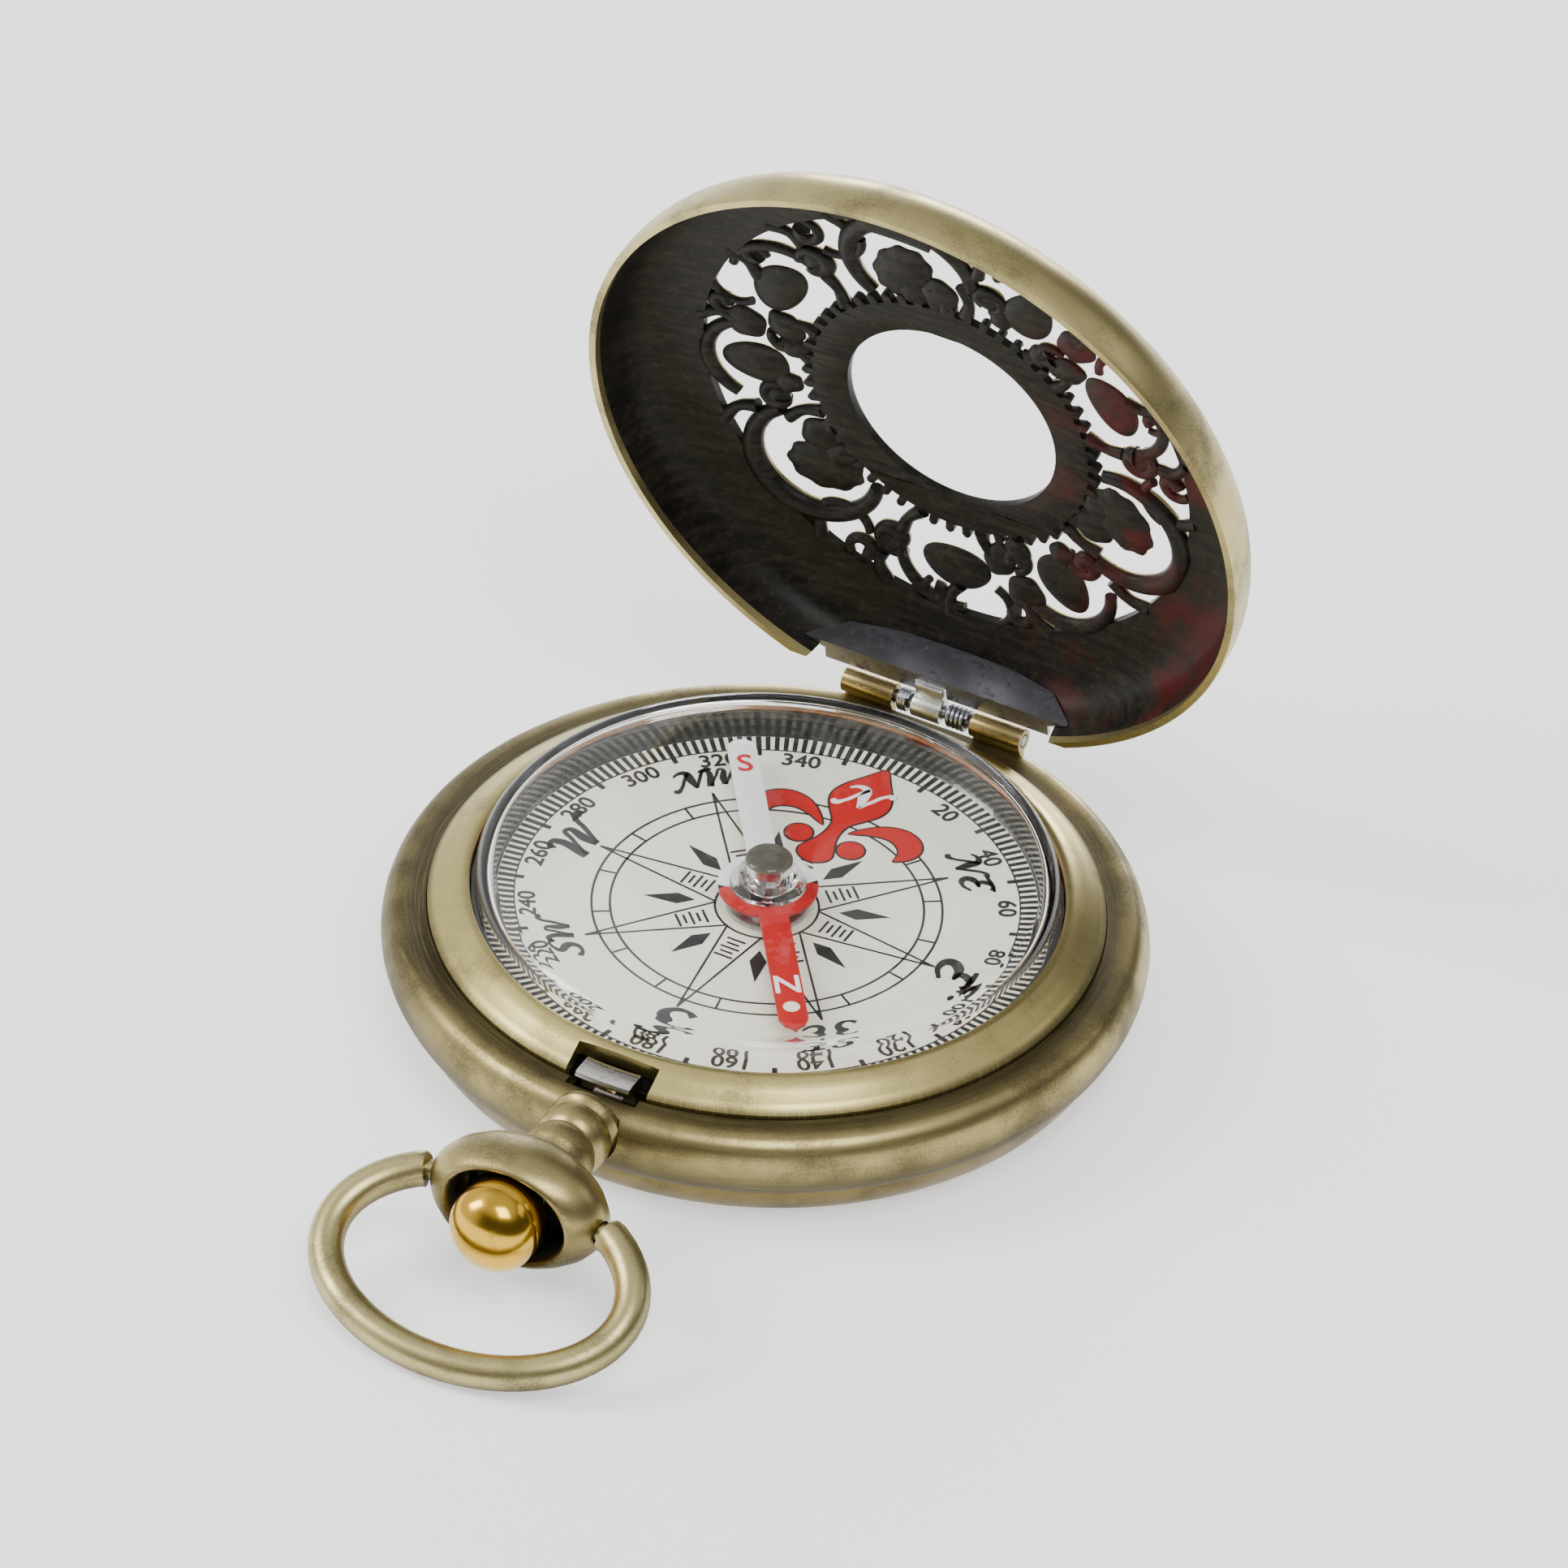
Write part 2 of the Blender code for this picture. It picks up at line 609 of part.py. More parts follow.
def make_hinge():
    make_case_knuckle(-1, "case_knuckle_left")
    make_case_knuckle(1, "case_knuckle_right")
    pin = cylinder("hinge_pin", HINGE_PIN_R, -BARREL_OUT, BARREL_OUT, "steel", 12)
    along_x(pin, HINGE_Y, HINGE_Z)
    gap = 2.5 * SPRING_WIRE_R
    left = (-BARREL_IN + gap, LID_KNUCKLE_X[0] - gap)
    right = (LID_KNUCKLE_X[1] + gap, BARREL_IN - gap)
    wire("lid_spring_left", lid_spring_points(*left, 3.2, 0.75 * MM), SPRING_WIRE_R, "steel", 0)
    wire("lid_spring_right", lid_spring_points(*right, 4.2, 0.75 * MM), SPRING_WIRE_R, "steel", 0)


# Lid, modelled shut and then swung open about the hinge


def lid_profile(radius_cut=0.0, height_cut=0.0):
    """Points down the outside of the lid from the window's edge, moved inwards for the inner side."""
    lift = LID_LIP_Z - height_cut
    wall_r = LID_R - radius_cut
    return [
        (LID_WINDOW_R, lift + LID_CROWN_H),
        (LID_RING_R + 3 * MM, lift + (LID_CROWN_H + LID_PIERCED_H) / 2 + 0.12 * MM),
        (LID_PIERCED_R, lift + LID_PIERCED_H),
        (LID_SHOULDER_R, lift + LID_SHOULDER_H),
        (wall_r - 0.85 * MM, lift + LID_SHOULDER_H - LID_SHOULDER_DROP + height_cut * 0.3),
        (wall_r - 0.1 * MM, lift + LID_WALL_H),
    ]


def lid_arc_outline(inner, outer, start, end, count):
    centre = (0, 0)
    return arc(centre, outer, start, end, count) + arc(centre, inner, end, start, count)


def ellipse_outline(radius, bearing, half_r, half_t, turn=0.0, count=10):
    """An ellipse centred at a radius and angle from the lid's centre, its axes turned from the radial."""
    middle = math.radians(bearing)
    lean = middle + math.radians(turn)
    centre = Vector((radius * math.cos(middle), radius * math.sin(middle)))
    out = Vector((math.cos(lean), math.sin(lean)))
    across = Vector((-math.sin(lean), math.cos(lean)))
    turns = [math.tau * i / count for i in range(count)]
    points = [centre + out * (half_r * math.cos(t)) + across * (half_t * math.sin(t)) for t in turns]
    return [(p.x, p.y) for p in points]


def scroll_outline(radius, bearing, bend, width, start, end, count=9):
    """A C-scroll: an arc band about a centre given by radius and angle, start and end measured from the radial."""
    middle = math.radians(bearing)
    centre = (radius * math.cos(middle), radius * math.sin(middle))
    first, last = bearing + start, bearing + end
    return arc(centre, bend + width / 2, first, last, count) + arc(centre, bend - width / 2, last, first, count)


def openwork_outlines():
    """One third of the lid's scrollwork, repeated round the window and moved out or in to meet the rim."""
    outlines = []
    shift = LID_PIERCED_R - OPENWORK_DRAWN_R
    for turn in range(MOTIFS):
        at = FIRST_MOTIF_DEG - turn * 360 / MOTIFS
        outlines += [
            ellipse_outline(12.6 * MM, at, 2.0 * MM, 1.6 * MM, 30),
            ellipse_outline(10.2 * MM, at + 6, 1.6 * MM, 1.9 * MM),
            scroll_outline(12.4 * MM, at - 2, 3.75 * MM, 1.0 * MM, -115, 95),
            ellipse_outline(13.1 * MM, at - 31, 1.45 * MM, 1.2 * MM),
            ellipse_outline(15.6 * MM, at - 28, 1.4 * MM, 0.55 * MM),
            ellipse_outline(13.1 * MM, at - 48, 1.35 * MM, 2.0 * MM),
            ellipse_outline(15.6 * MM, at - 47, 1.4 * MM, 0.6 * MM),
            ellipse_outline(11.7 * MM, at - 63, 3.0 * MM, 1.5 * MM),
            ellipse_outline(15.2 * MM, at - 64, 1.8 * MM, 1.2 * MM),
            ellipse_outline(13.6 * MM, at - 81, 1.4 * MM, 1.9 * MM, -20),
            ellipse_outline(11.2 * MM, at - 82, 2.0 * MM, 0.9 * MM),
            scroll_outline(13.4 * MM, at - 82, 2.7 * MM, 0.75 * MM, -80, 85),
            ellipse_outline(12.6 * MM, at - 97, 3.2 * MM, 1.0 * MM),
        ]
    return [[moved_out(x, y, shift) for x, y in outline] for outline in outlines]


def moved_out(x, y, shift):
    stretch = 1 + shift / math.hypot(x, y)
    return x * stretch, y * stretch


def make_lid():
    inner_cut = (LID_WALL, LID_WALL)
    rim_outside = lid_profile()[2:]
    rim_inside = lid_profile(*inner_cut)[2:]
    rim_profile = [*rim_outside, (LID_R, LID_LIP_Z), (LID_R - LID_WALL, LID_LIP_Z), *reversed(rim_inside)]
    shell = turned("lid_shell", rim_profile, "antique_brass")
    outside = lid_profile()[:3]
    inside = lid_profile(*inner_cut)[:3]
    crown = [*outside, *reversed(inside)]
    crown[2] = (LID_PIERCED_R + 0.3 * MM, outside[2][1] - 0.02 * MM)
    crown[3] = (LID_PIERCED_R + 0.3 * MM, inside[2][1] + 0.02 * MM)
    scrolls_zone = turned("crown_zone", crown, steps=OUTER_STEPS)
    low = LID_LIP_Z + LID_PIERCED_H - 2 * MM
    high = LID_LIP_Z + LID_CROWN_H + MM
    scrolls = plate("openwork", openwork_outlines(), low, high)
    combine(scrolls, scrolls_zone, "INTERSECT", self_overlap=True)
    share = (LID_RING_R - LID_WINDOW_R) / (LID_PIERCED_R - LID_WINDOW_R)
    drop = (LID_CROWN_H - LID_PIERCED_H) * share
    ring_side = [
        (LID_WINDOW_R, LID_LIP_Z + LID_CROWN_H),
        (LID_RING_R, LID_LIP_Z + LID_CROWN_H - drop * 0.8),
        (LID_RING_R, LID_LIP_Z + LID_CROWN_H - drop * 0.8 - LID_WALL),
        (LID_WINDOW_R, LID_LIP_Z + LID_CROWN_H - LID_WALL),
    ]
    ring = turned("gear_ring", ring_side)
    combine(shell, scrolls, "UNION")
    combine(shell, ring, "UNION")
    catch = plate(
        "catch_ledge",
        [lid_arc_outline(LEDGE_IN_R, LID_R - LID_WALL / 2, -96, -84, 5)],
        LID_LIP_Z + 0.01 * MM,
        LID_LIP_Z + LEDGE_H,
    )
    combine(shell, catch, "UNION")
    chord = box("lid_chord", (-LID_R, LID_CHORD_Y, LID_LIP_Z - MM), (LID_R, LID_R * 1.2, LID_LIP_Z + LID_CROWN_H))
    combine(shell, chord)
    lining = lid_profile(LID_WALL + SEAT, LID_WALL + SEAT)
    lining_r = LID_R - LID_WALL - SEAT
    lining_profile = [(0, lining[0][1]), *lining[1:], (lining_r, LID_LIP_Z), (0, LID_LIP_Z)]
    flange = turned("lid_flange", lining_profile, "steel", ring=False)
    plate_in = LID_CHORD_Y - LID_PLATE
    plate_z = bezel_height(plate_in) + LID_OVER_BEZEL
    plate_zone = box("flange_zone", (-LID_R, plate_in, plate_z), (LID_R, LID_CHORD_Y, LID_LIP_Z + LID_CROWN_H))
    combine(flange, plate_zone, "INTERSECT")
    apron_top = plate_z + APRON_THICK
    apron = box("flange_apron", (-APRON_HALF, plate_in, plate_z), (APRON_HALF, HINGE_Y - BARREL_R - RUN, apron_top))
    notch_low = (LID_KNUCKLE_X[0] - SEAT, LID_CHORD_Y, LID_LIP_Z)
    notch = box("apron_notch", notch_low, (LID_KNUCKLE_X[1] + SEAT, HINGE_Y, HINGE_Z + 2 * MM))
    combine(apron, notch)
    combine(flange, apron, "UNION")
    knuckle, knuckle_tools = make_lid_knuckle(apron_top)
    axis = add_axis("lid_axis", (0, HINGE_Y, HINGE_Z))
    tools = (scrolls_zone, scrolls, ring, catch, chord, plate_zone, apron, notch, *knuckle_tools)
    hang_on(axis, shell, flange, knuckle, *tools)
    axis.rotation_euler = (-math.radians(LID_OPEN_DEG), 0, 0)


def make_lid_knuckle(arm_top):
    """The lid's barrel and the arm that carries it, which passes over the bezel's edge to the flange."""
    start, end = LID_KNUCKLE_X
    knuckle = along_x(cylinder("lid_knuckle", BARREL_R, start, end, "steel", 18), HINGE_Y, HINGE_Z)
    arm_low = bezel_height(LID_CHORD_Y) + LID_OVER_BEZEL
    arm = box("knuckle_arm", (start, LID_CHORD_Y + SEAT, arm_low), (end, HINGE_Y, arm_top))
    bore = along_x(cylinder("knuckle_bore", HINGE_PIN_R + SEAT, start - MM, end + MM, steps=14), HINGE_Y, HINGE_Z)
    combine(knuckle, arm, "UNION")
    combine(knuckle, bore)
    return knuckle, (arm, bore)


# Latch


def latch_screw_shape(name, clearance, material=None):
    angle = math.radians(LATCH_SCREW_DEG)
    head_z = RING_TOP_Z + LATCH_SPRING_H + 2 * SEAT
    shank = cylinder(name, 0.3 * MM + clearance, RING_TOP_Z - 1.2 * MM, head_z + 0.01 * MM, material, 12)
    shank.location = (LATCH_ARC_R * math.cos(angle), LATCH_ARC_R * math.sin(angle), 0)
    if material:
        head = cylinder("screw_head", 0.44 * MM, head_z, head_z + 0.18 * MM, steps=16)
        head.location = shank.location
        combine(shank, head, "UNION")
    return shank


def make_latch():
    low_z = RING_TOP_Z + SEAT
    nose_z = LID_LIP_Z + LEDGE_H + 1.5 * SEAT
    nose_top = nose_z + 0.34 * MM
    front_r = BEZEL_OUT_R - 0.45 * MM
    side = [
        (-front_r, low_z),
        (-LATCH_BACK_R, low_z),
        (-LATCH_BACK_R, nose_top - 0.1 * MM),
        (-LATCH_BACK_R - 0.1 * MM, nose_top),
        (-LATCH_NOSE_R + 0.25 * MM, nose_top),
        (-LATCH_NOSE_R, nose_z + 0.08 * MM),
        (-LATCH_NOSE_R, nose_z),
        (-front_r, nose_z),
    ]
    hook = plate("latch_hook", [side], -LATCH_HALF_W, LATCH_HALF_W, "steel")
    for vertex in hook.data.vertices:
        y, z, x = vertex.co
        vertex.co = (x, y, z)
    tail_front = ROD_TIP - SEAT
    tail = box("latch_tail", (-MM, -tail_front, PENDANT_Z - 0.35 * MM), (MM, -LATCH_BACK_R, low_z + 0.1 * MM))
    combine(hook, tail, "UNION")
    axis = add_axis("latch_axis", (0, -LATCH_BACK_R, low_z))
    hang_on(axis, hook, tail)
    arc_end = math.degrees(math.asin((LATCH_HALF_W + RUN) / LATCH_ARC_R))
    half_w = 0.28 * MM
    outline = lid_arc_outline(LATCH_ARC_R - half_w, LATCH_ARC_R + half_w, LATCH_SCREW_DEG, -90 - arc_end, 18)
    top = low_z + LATCH_SPRING_H
    spring = plate("latch_spring", [outline], low_z, top, "steel")
    angle = math.radians(LATCH_SCREW_DEG)
    eye = cylinder("spring_eye", 0.62 * MM, low_z, top, steps=16)
    eye.location = (LATCH_ARC_R * math.cos(angle), LATCH_ARC_R * math.sin(angle), 0)
    combine(spring, eye, "UNION")
    combine(spring, latch_screw_shape("spring_hole", SEAT))
    latch_screw_shape("latch_screw", 0, "steel")


# Pendant, button and bow


def make_neck():
    waist = NECK_BEAD_R - 0.5 * MM
    bead = 0.95 * MM
    first = NECK_START + 1.7 * MM
    second = first + 2 * bead + 0.15 * MM
    bore = ROD_R + RUN
    profile = [(bore, NECK_END - SEAT), (waist, NECK_END - SEAT)]
    for centre in (second, first):
        profile += [
            (waist + (NECK_BEAD_R - waist) * math.sin(math.radians(a)), centre + bead * math.cos(math.radians(a)))
            for a in (0, 40, 90, 140, 180)
        ]
    profile += [(NECK_BEAD_R - SEAT, first - bead - 0.2 * MM), (NECK_BEAD_R - SEAT, NECK_START), (bore, NECK_START)]
    along_minus_y(turned("pendant_neck", profile, "antique_brass", 24), PENDANT_Z)


def make_cup():
    """An oval cup, hollow in front for the button and bored sideways for the bow's ends."""
    waist = NECK_BEAD_R - 0.3 * MM
    outside = [
        (NECK_END, waist, waist),
        (NECK_END + 0.5 * MM, CUP_HALF_W * 0.62, CUP_HALF_H * 0.72),
        (NECK_END + 1.6 * MM, CUP_HALF_W * 0.88, CUP_HALF_H * 0.92),
        (CUP_WIDEST - 0.5 * MM, CUP_HALF_W * 0.99, CUP_HALF_H),
        (CUP_WIDEST + 0.3 * MM, CUP_HALF_W, CUP_HALF_H),
        (CUP_FRONT - 0.8 * MM, CUP_HALF_W * 0.88, CUP_HALF_H * 0.95),
        (CUP_FRONT - 0.15 * MM, CUP_HALF_W * 0.75, CUP_HALF_H * 0.87),
        (CUP_FRONT, CUP_HALF_W * 0.72, CUP_HALF_H * 0.84),
    ]
    cup = loft("pendant_cup", outside, "antique_brass")
    mouth = (CUP_HALF_W * 0.67, CUP_HALF_H * 0.78)
    hollow = loft("cup_hollow", [(CUP_FLOOR, mouth[0] * 0.9, mouth[1] * 0.9), (CUP_FRONT + MM, *mouth)])
    for obj in (cup, hollow):
        obj.location = (0, 0, PENDANT_Z)
    combine(cup, hollow)
    combine(cup, along_minus_y(cylinder("cup_bore", ROD_R + RUN, NECK_END - MM, CUP_FRONT), PENDANT_Z))
    reach = CUP_HALF_W + MM
    return combine(cup, along_x(cylinder("bow_holes", BOW_PIN_R + RUN, -reach, reach, steps=20), BOW_Y, PENDANT_Z))


def make_button():
    top = BUTTON_FRONT
    dome_start = BUTTON_BACK + 2.0 * MM
    dome = [
        (BUTTON_R * math.sin(math.radians(a)), dome_start + (top - dome_start) * math.cos(math.radians(a)))
        for a in (0, 20, 38, 55, 72, 90)
    ]
    profile = [*dome, (BUTTON_R, BUTTON_BACK + 0.2 * MM), (BUTTON_R - 0.2 * MM, BUTTON_BACK), (0, BUTTON_BACK)]
    button = along_minus_y(turned("push_button", profile, "bright_brass", 32, ring=False), PENDANT_Z)
    rod = along_minus_y(cylinder("push_rod", ROD_R, ROD_TIP, BUTTON_BACK - SEAT, "bright_brass", 14), PENDANT_Z)
    axis = add_axis("button_axis", (0, 0, PENDANT_Z))
    hang_on(axis, button, rod)
    start = CUP_FLOOR + 2 * BUTTON_WIRE_R
    end = BUTTON_BACK - 2 * BUTTON_WIRE_R
    steps = 48
    turns = 4
    points = []
    for i in range(steps + 1):
        angle = math.tau * turns * i / steps
        distance = start + (end - start) * i / steps
        x, z = BUTTON_SPRING_R * math.cos(angle), BUTTON_SPRING_R * math.sin(angle)
        points.append((x, -distance, PENDANT_Z + z))
    wire("button_spring", points, BUTTON_WIRE_R, "steel", 0)


def make_bow():
    """An oval of round wire whose ends step down to pins in the cup's sides."""
    start = math.asin((CUP_HALF_W + 0.75 * MM) / BOW_HALF_W)
    ends = CUP_HALF_W + 0.15 * MM
    count = 40
    points = []
    for i in range(count + 1):
        angle = start + (math.tau - 2 * start) * i / count
        x = BOW_HALF_W * math.sin(angle)
        out = BOW_CENTRE - BOW_HALF_L * math.cos(angle)
        points.append((x, -out, 0.0))
    small = BOW_PIN_R / BOW_WIRE_R
    lead = [(CUP_HALF_W * 0.73, 0, 0), (ends, 0, 0), (ends + 0.02 * MM, 0, 0), (ends + 0.35 * MM, -0.12 * MM, 0)]
    tail = [(-x, y, z) for x, y, z in reversed(lead)]
    sizes = [small, small, 1.0, 1.0] + [1.0] * len(points) + [1.0, 1.0, small, small]
    bow = wire("bow", lead + points + tail, BOW_WIRE_R, "antique_brass", 2, sizes)
    bow.location = (0, BOW_Y, PENDANT_Z)
    axis = add_axis("bow_axis", (0, BOW_Y, PENDANT_Z))
    hang_on(axis, bow)
    axis.rotation_euler = (BOW_DROOP, 0, 0)


make_mid_case()
make_back_cover()
make_bezel()
make_crystal()
make_gasket()
make_dial()
make_tray()
make_pivot()
make_needle()
make_hinge()
make_lid()
make_latch()
make_neck()
make_cup()
make_button()
make_bow()
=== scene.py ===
"""Looks of the flip-lid pocket compass: antique brass, an openwork lid, a domed crystal and a printed dial.

Sizes in the tables and calls are in millimetres. +Z is up, +Y is dial north and the lid hinge, and -Y is the
pendant.
"""

import json
import math

import bpy
from mathutils import Matrix, Vector


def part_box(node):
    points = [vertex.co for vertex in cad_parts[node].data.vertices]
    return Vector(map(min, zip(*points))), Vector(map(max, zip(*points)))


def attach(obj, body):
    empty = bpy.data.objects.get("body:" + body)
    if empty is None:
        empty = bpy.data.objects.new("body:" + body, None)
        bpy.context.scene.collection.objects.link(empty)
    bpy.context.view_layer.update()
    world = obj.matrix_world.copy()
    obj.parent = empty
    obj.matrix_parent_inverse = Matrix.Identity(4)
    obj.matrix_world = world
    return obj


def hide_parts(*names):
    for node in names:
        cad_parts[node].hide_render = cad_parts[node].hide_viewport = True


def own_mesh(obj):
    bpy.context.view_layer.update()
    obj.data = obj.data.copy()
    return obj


MM = 0.001
WELD = 0.000001
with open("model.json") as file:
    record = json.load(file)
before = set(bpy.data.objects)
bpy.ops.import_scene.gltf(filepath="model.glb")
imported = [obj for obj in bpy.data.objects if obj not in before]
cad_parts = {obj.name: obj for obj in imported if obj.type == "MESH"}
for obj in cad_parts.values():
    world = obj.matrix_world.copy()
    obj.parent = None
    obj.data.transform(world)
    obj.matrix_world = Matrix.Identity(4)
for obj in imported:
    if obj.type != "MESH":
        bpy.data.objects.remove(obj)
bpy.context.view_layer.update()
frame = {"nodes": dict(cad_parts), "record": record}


def joint_named(name):
    return next(joint for joint in frame["record"]["behaviour"]["joints"] if joint["name"] == name)


def low_of(node):
    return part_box(node)[0] / MM


def high_of(node):
    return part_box(node)[1] / MM


# Places taken from the frame, in millimetres
CASE_R = high_of("mid_case").x
MID = (high_of("mid_case").z + low_of("mid_case").z) / 2
HINGE = Vector(joint_named("lid_hinge")["pos_m"]) / MM
LID_OPEN = math.radians(joint_named("lid_hinge")["range_deg"][1])
BOW_HINGE = Vector(joint_named("bow_pivot")["pos_m"]) / MM
DIAL_TOP = high_of("dial_plate").z
DIAL_R = high_of("dial_plate").x
CRYSTAL_R = high_of("crystal").x
CRYSTAL_TOP = high_of("crystal").z
BEZEL_R = high_of("bezel").x
TRAY_R = high_of("capsule_tray").x
PENDANT_Z = BOW_HINGE.z
CUP_BACK = -high_of("pendant_cup").y
CUP_FRONT = -low_of("pendant_cup").y
CUP_HALF_H = high_of("pendant_cup").z - PENDANT_Z
CUP_HALF_W = high_of("pendant_cup").x + 0.1
NECK_START = -high_of("pendant_neck").y
NECK_END = -low_of("pendant_neck").y
NECK_R = high_of("pendant_neck").x
BUTTON_R = high_of("push_button").x
BUTTON_BACK = -high_of("push_button").y
BUTTON_FRONT = -low_of("push_button").y
NEEDLE_Z = low_of("needle_blade").z
NEEDLE_TOP = high_of("needle_blade").z
CAP_TOP = high_of("needle_cap").z

# The lid, measured shut
LIP_Z = MID + 2.05
LID_R = 21.83
LID_SHEET = 0.55
PIERCED_R = 16.4
WINDOW_R = 7.0
GEAR_R = 9.3
GEAR_TEETH = 54
MOTIFS = 3
FIRST_MOTIF = math.radians(141)
CHORD_Y = 19.65

NEEDLE_BEARING = math.radians(145)
NEEDLE_LENGTH = 14.1
NEEDLE_HALF_W = 0.88
NEEDLE_HUB_R = 3.0


# Selecting and shaping, as by hand


def settle():
    if bpy.context.mode != "OBJECT":
        bpy.ops.object.mode_set(mode="OBJECT")
    bpy.ops.object.select_all(action="DESELECT")


def make_active(obj):
    settle()
    obj.select_set(True)
    bpy.context.view_layer.objects.active = obj


def named(name):
    obj = bpy.context.object
    obj.name = name
    obj.data.name = name
    return obj


def select_vertices(obj, test):
    """Selects, in edit mode, the vertices whose place in millimetres passes the test."""
    bpy.ops.object.mode_set(mode="EDIT")
    bpy.ops.mesh.select_mode(type="VERT")
    bpy.ops.mesh.select_all(action="DESELECT")
    bpy.ops.object.mode_set(mode="OBJECT")
    for vertex in obj.data.vertices:
        vertex.select = bool(test(vertex.co / MM))
    bpy.ops.object.mode_set(mode="EDIT")


def bake_place(obj):
    make_active(obj)
    bpy.ops.object.transform_apply(location=True, rotation=True, scale=True)
    return obj


def move_by(obj, matrix):
    """Turns or moves a finished piece and leaves its object at the origin."""
    obj.matrix_world = matrix @ obj.matrix_world
    return bake_place(obj)


def add_modifier(obj, kind, **settings):
    make_active(obj)
    modifier = obj.modifiers.new(kind.title(), kind)
    for key, value in settings.items():
        setattr(modifier, key, value)
    bpy.ops.object.modifier_apply(modifier=modifier.name)
    return obj


def soften(obj, width, segments=3, angle=32):
    """Rounds the edges that are sharper than the angle."""
    return add_modifier(
        obj,
        "BEVEL",
        width=width * MM,
        segments=segments,
        limit_method="ANGLE",
        angle_limit=math.radians(angle),
        use_clamp_overlap=True,
    )


def smooth(obj, angle=35):
    make_active(obj)
    bpy.ops.object.shade_smooth_by_angle(angle=math.radians(angle))
    return obj


def face_outwards(obj):
    make_active(obj)
    bpy.ops.object.mode_set(mode="EDIT")
    bpy.ops.mesh.select_all(action="SELECT")
    bpy.ops.mesh.remove_doubles(threshold=WELD)
    bpy.ops.mesh.normals_make_consistent(inside=False)
    settle()
    return obj


def turned(name, profile, ring=True, sides=160, edge=0.06):
    """Draws a circle up a profile of (radius, height) points, or of (half x, half y, height) for an oval."""
    sections = [point if len(point) == 3 else (point[0], point[0], point[1]) for point in profile]
    settle()
    first = sections[0]
    bpy.ops.mesh.primitive_circle_add(vertices=sides, radius=MM, location=(0, 0, 0))
    obj = named(name)
    obj.scale = (first[0], first[1], 1)
    obj.location = (0, 0, first[2] * MM)
    bake_place(obj)
    bpy.ops.object.mode_set(mode="EDIT")
    bpy.ops.mesh.select_mode(type="EDGE")
    bpy.ops.mesh.select_all(action="SELECT")
    for near, far in zip(sections, sections[1:] + (sections[:1] if ring else [])):
        bpy.ops.mesh.extrude_edges_move(TRANSFORM_OT_translate={"value": (0, 0, (far[2] - near[2]) * MM)})
        stretch = (far[0] / near[0], far[1] / near[1], 1)
        bpy.ops.transform.resize(value=stretch, center_override=(0, 0, far[2] * MM))
    if not ring:
        bpy.ops.mesh.edge_face_add()

        def on_first(p):
            return abs(p.z - first[2]) < 1e-4 and abs(math.hypot(p.x / first[0], p.y / first[1]) - 1) < 1e-4

        select_vertices(obj, on_first)
        bpy.ops.mesh.edge_face_add()
    face_outwards(obj)
    if edge:
        soften(obj, edge)
    return smooth(obj)


def tube(radius, bore, low, high):
    """The profile of a plain ring from one height to another."""
    return [(radius, high), (radius, low), (bore, low), (bore, high)]


def along_minus_y(obj):
    return move_by(obj, Matrix.Translation((0, 0, PENDANT_Z * MM)) @ Matrix.Rotation(math.pi / 2, 4, "X"))


def along_x(obj):
    pivot = Matrix.Translation(HINGE * MM)
    return move_by(obj, pivot @ Matrix.Rotation(math.pi / 2, 4, "Y"))


def swing_open(obj):
    pivot = Matrix.Translation(HINGE * MM)
    return move_by(obj, pivot @ Matrix.Rotation(-LID_OPEN, 4, "X") @ pivot.inverted())


def block(name, low, high):
    settle()
    low, high = Vector(low) * MM, Vector(high) * MM
    bpy.ops.mesh.primitive_cube_add(size=1, location=(low + high) / 2)
    obj = named(name)
    obj.scale = high - low
    return bake_place(obj)


def cut(obj, tool, operation="DIFFERENCE"):
    add_modifier(obj, "BOOLEAN", operation=operation, solver="EXACT", object=tool)
    bpy.data.objects.remove(tool, do_unlink=True)
    return obj


def join(name, objects):
    make_active(objects[0])
    for other in objects[1:]:
        other.select_set(True)
    bpy.ops.object.join()
    return named(name)


def round_curve(name, sides):
    settle()
    curve = bpy.data.curves.new(name, "CURVE")
    curve.dimensions = "3D"
    curve.bevel_depth = MM
    curve.bevel_resolution = sides
    curve.use_fill_caps = True
    return curve


def drawn(name, curve):
    """Turns a drawn curve into a piece."""
    obj = bpy.data.objects.new(name, curve)
    bpy.context.collection.objects.link(obj)
    make_active(obj)
    bpy.ops.object.convert(target="MESH")
    return face_outwards(named(name))


def strokes(name, lines, sides=3, resolution=6):
    """Round bars along smooth lines. Each line is a list of (x, y, z, half width) in millimetres."""
    curve = round_curve(name, sides)
    curve.resolution_u = resolution
    for line in lines:
        spline = curve.splines.new("BEZIER")
        spline.bezier_points.add(len(line) - 1)
        for point, (x, y, z, half) in zip(spline.bezier_points, line):
            point.co = (x * MM, y * MM, z * MM)
            point.radius = half
            point.handle_left_type = "AUTO"
            point.handle_right_type = "AUTO"
    return smooth(drawn(name, curve), 50)


def poly_wire(name, points, sides):
    """One round bar through points that already follow its bends closely."""
    curve = round_curve(name, sides)
    spline = curve.splines.new("POLY")
    spline.points.add(len(points) - 1)
    for point, (x, y, z, half) in zip(spline.points, points):
        point.co = (x * MM, y * MM, z * MM, 1)
        point.radius = half
    return drawn(name, curve)


def reshape(obj, rule):
    """Moves each vertex by a rule on its place in millimetres."""
    for vertex in obj.data.vertices:
        vertex.co = Vector(rule(vertex.co / MM)) * MM
    obj.data.update()
    return obj


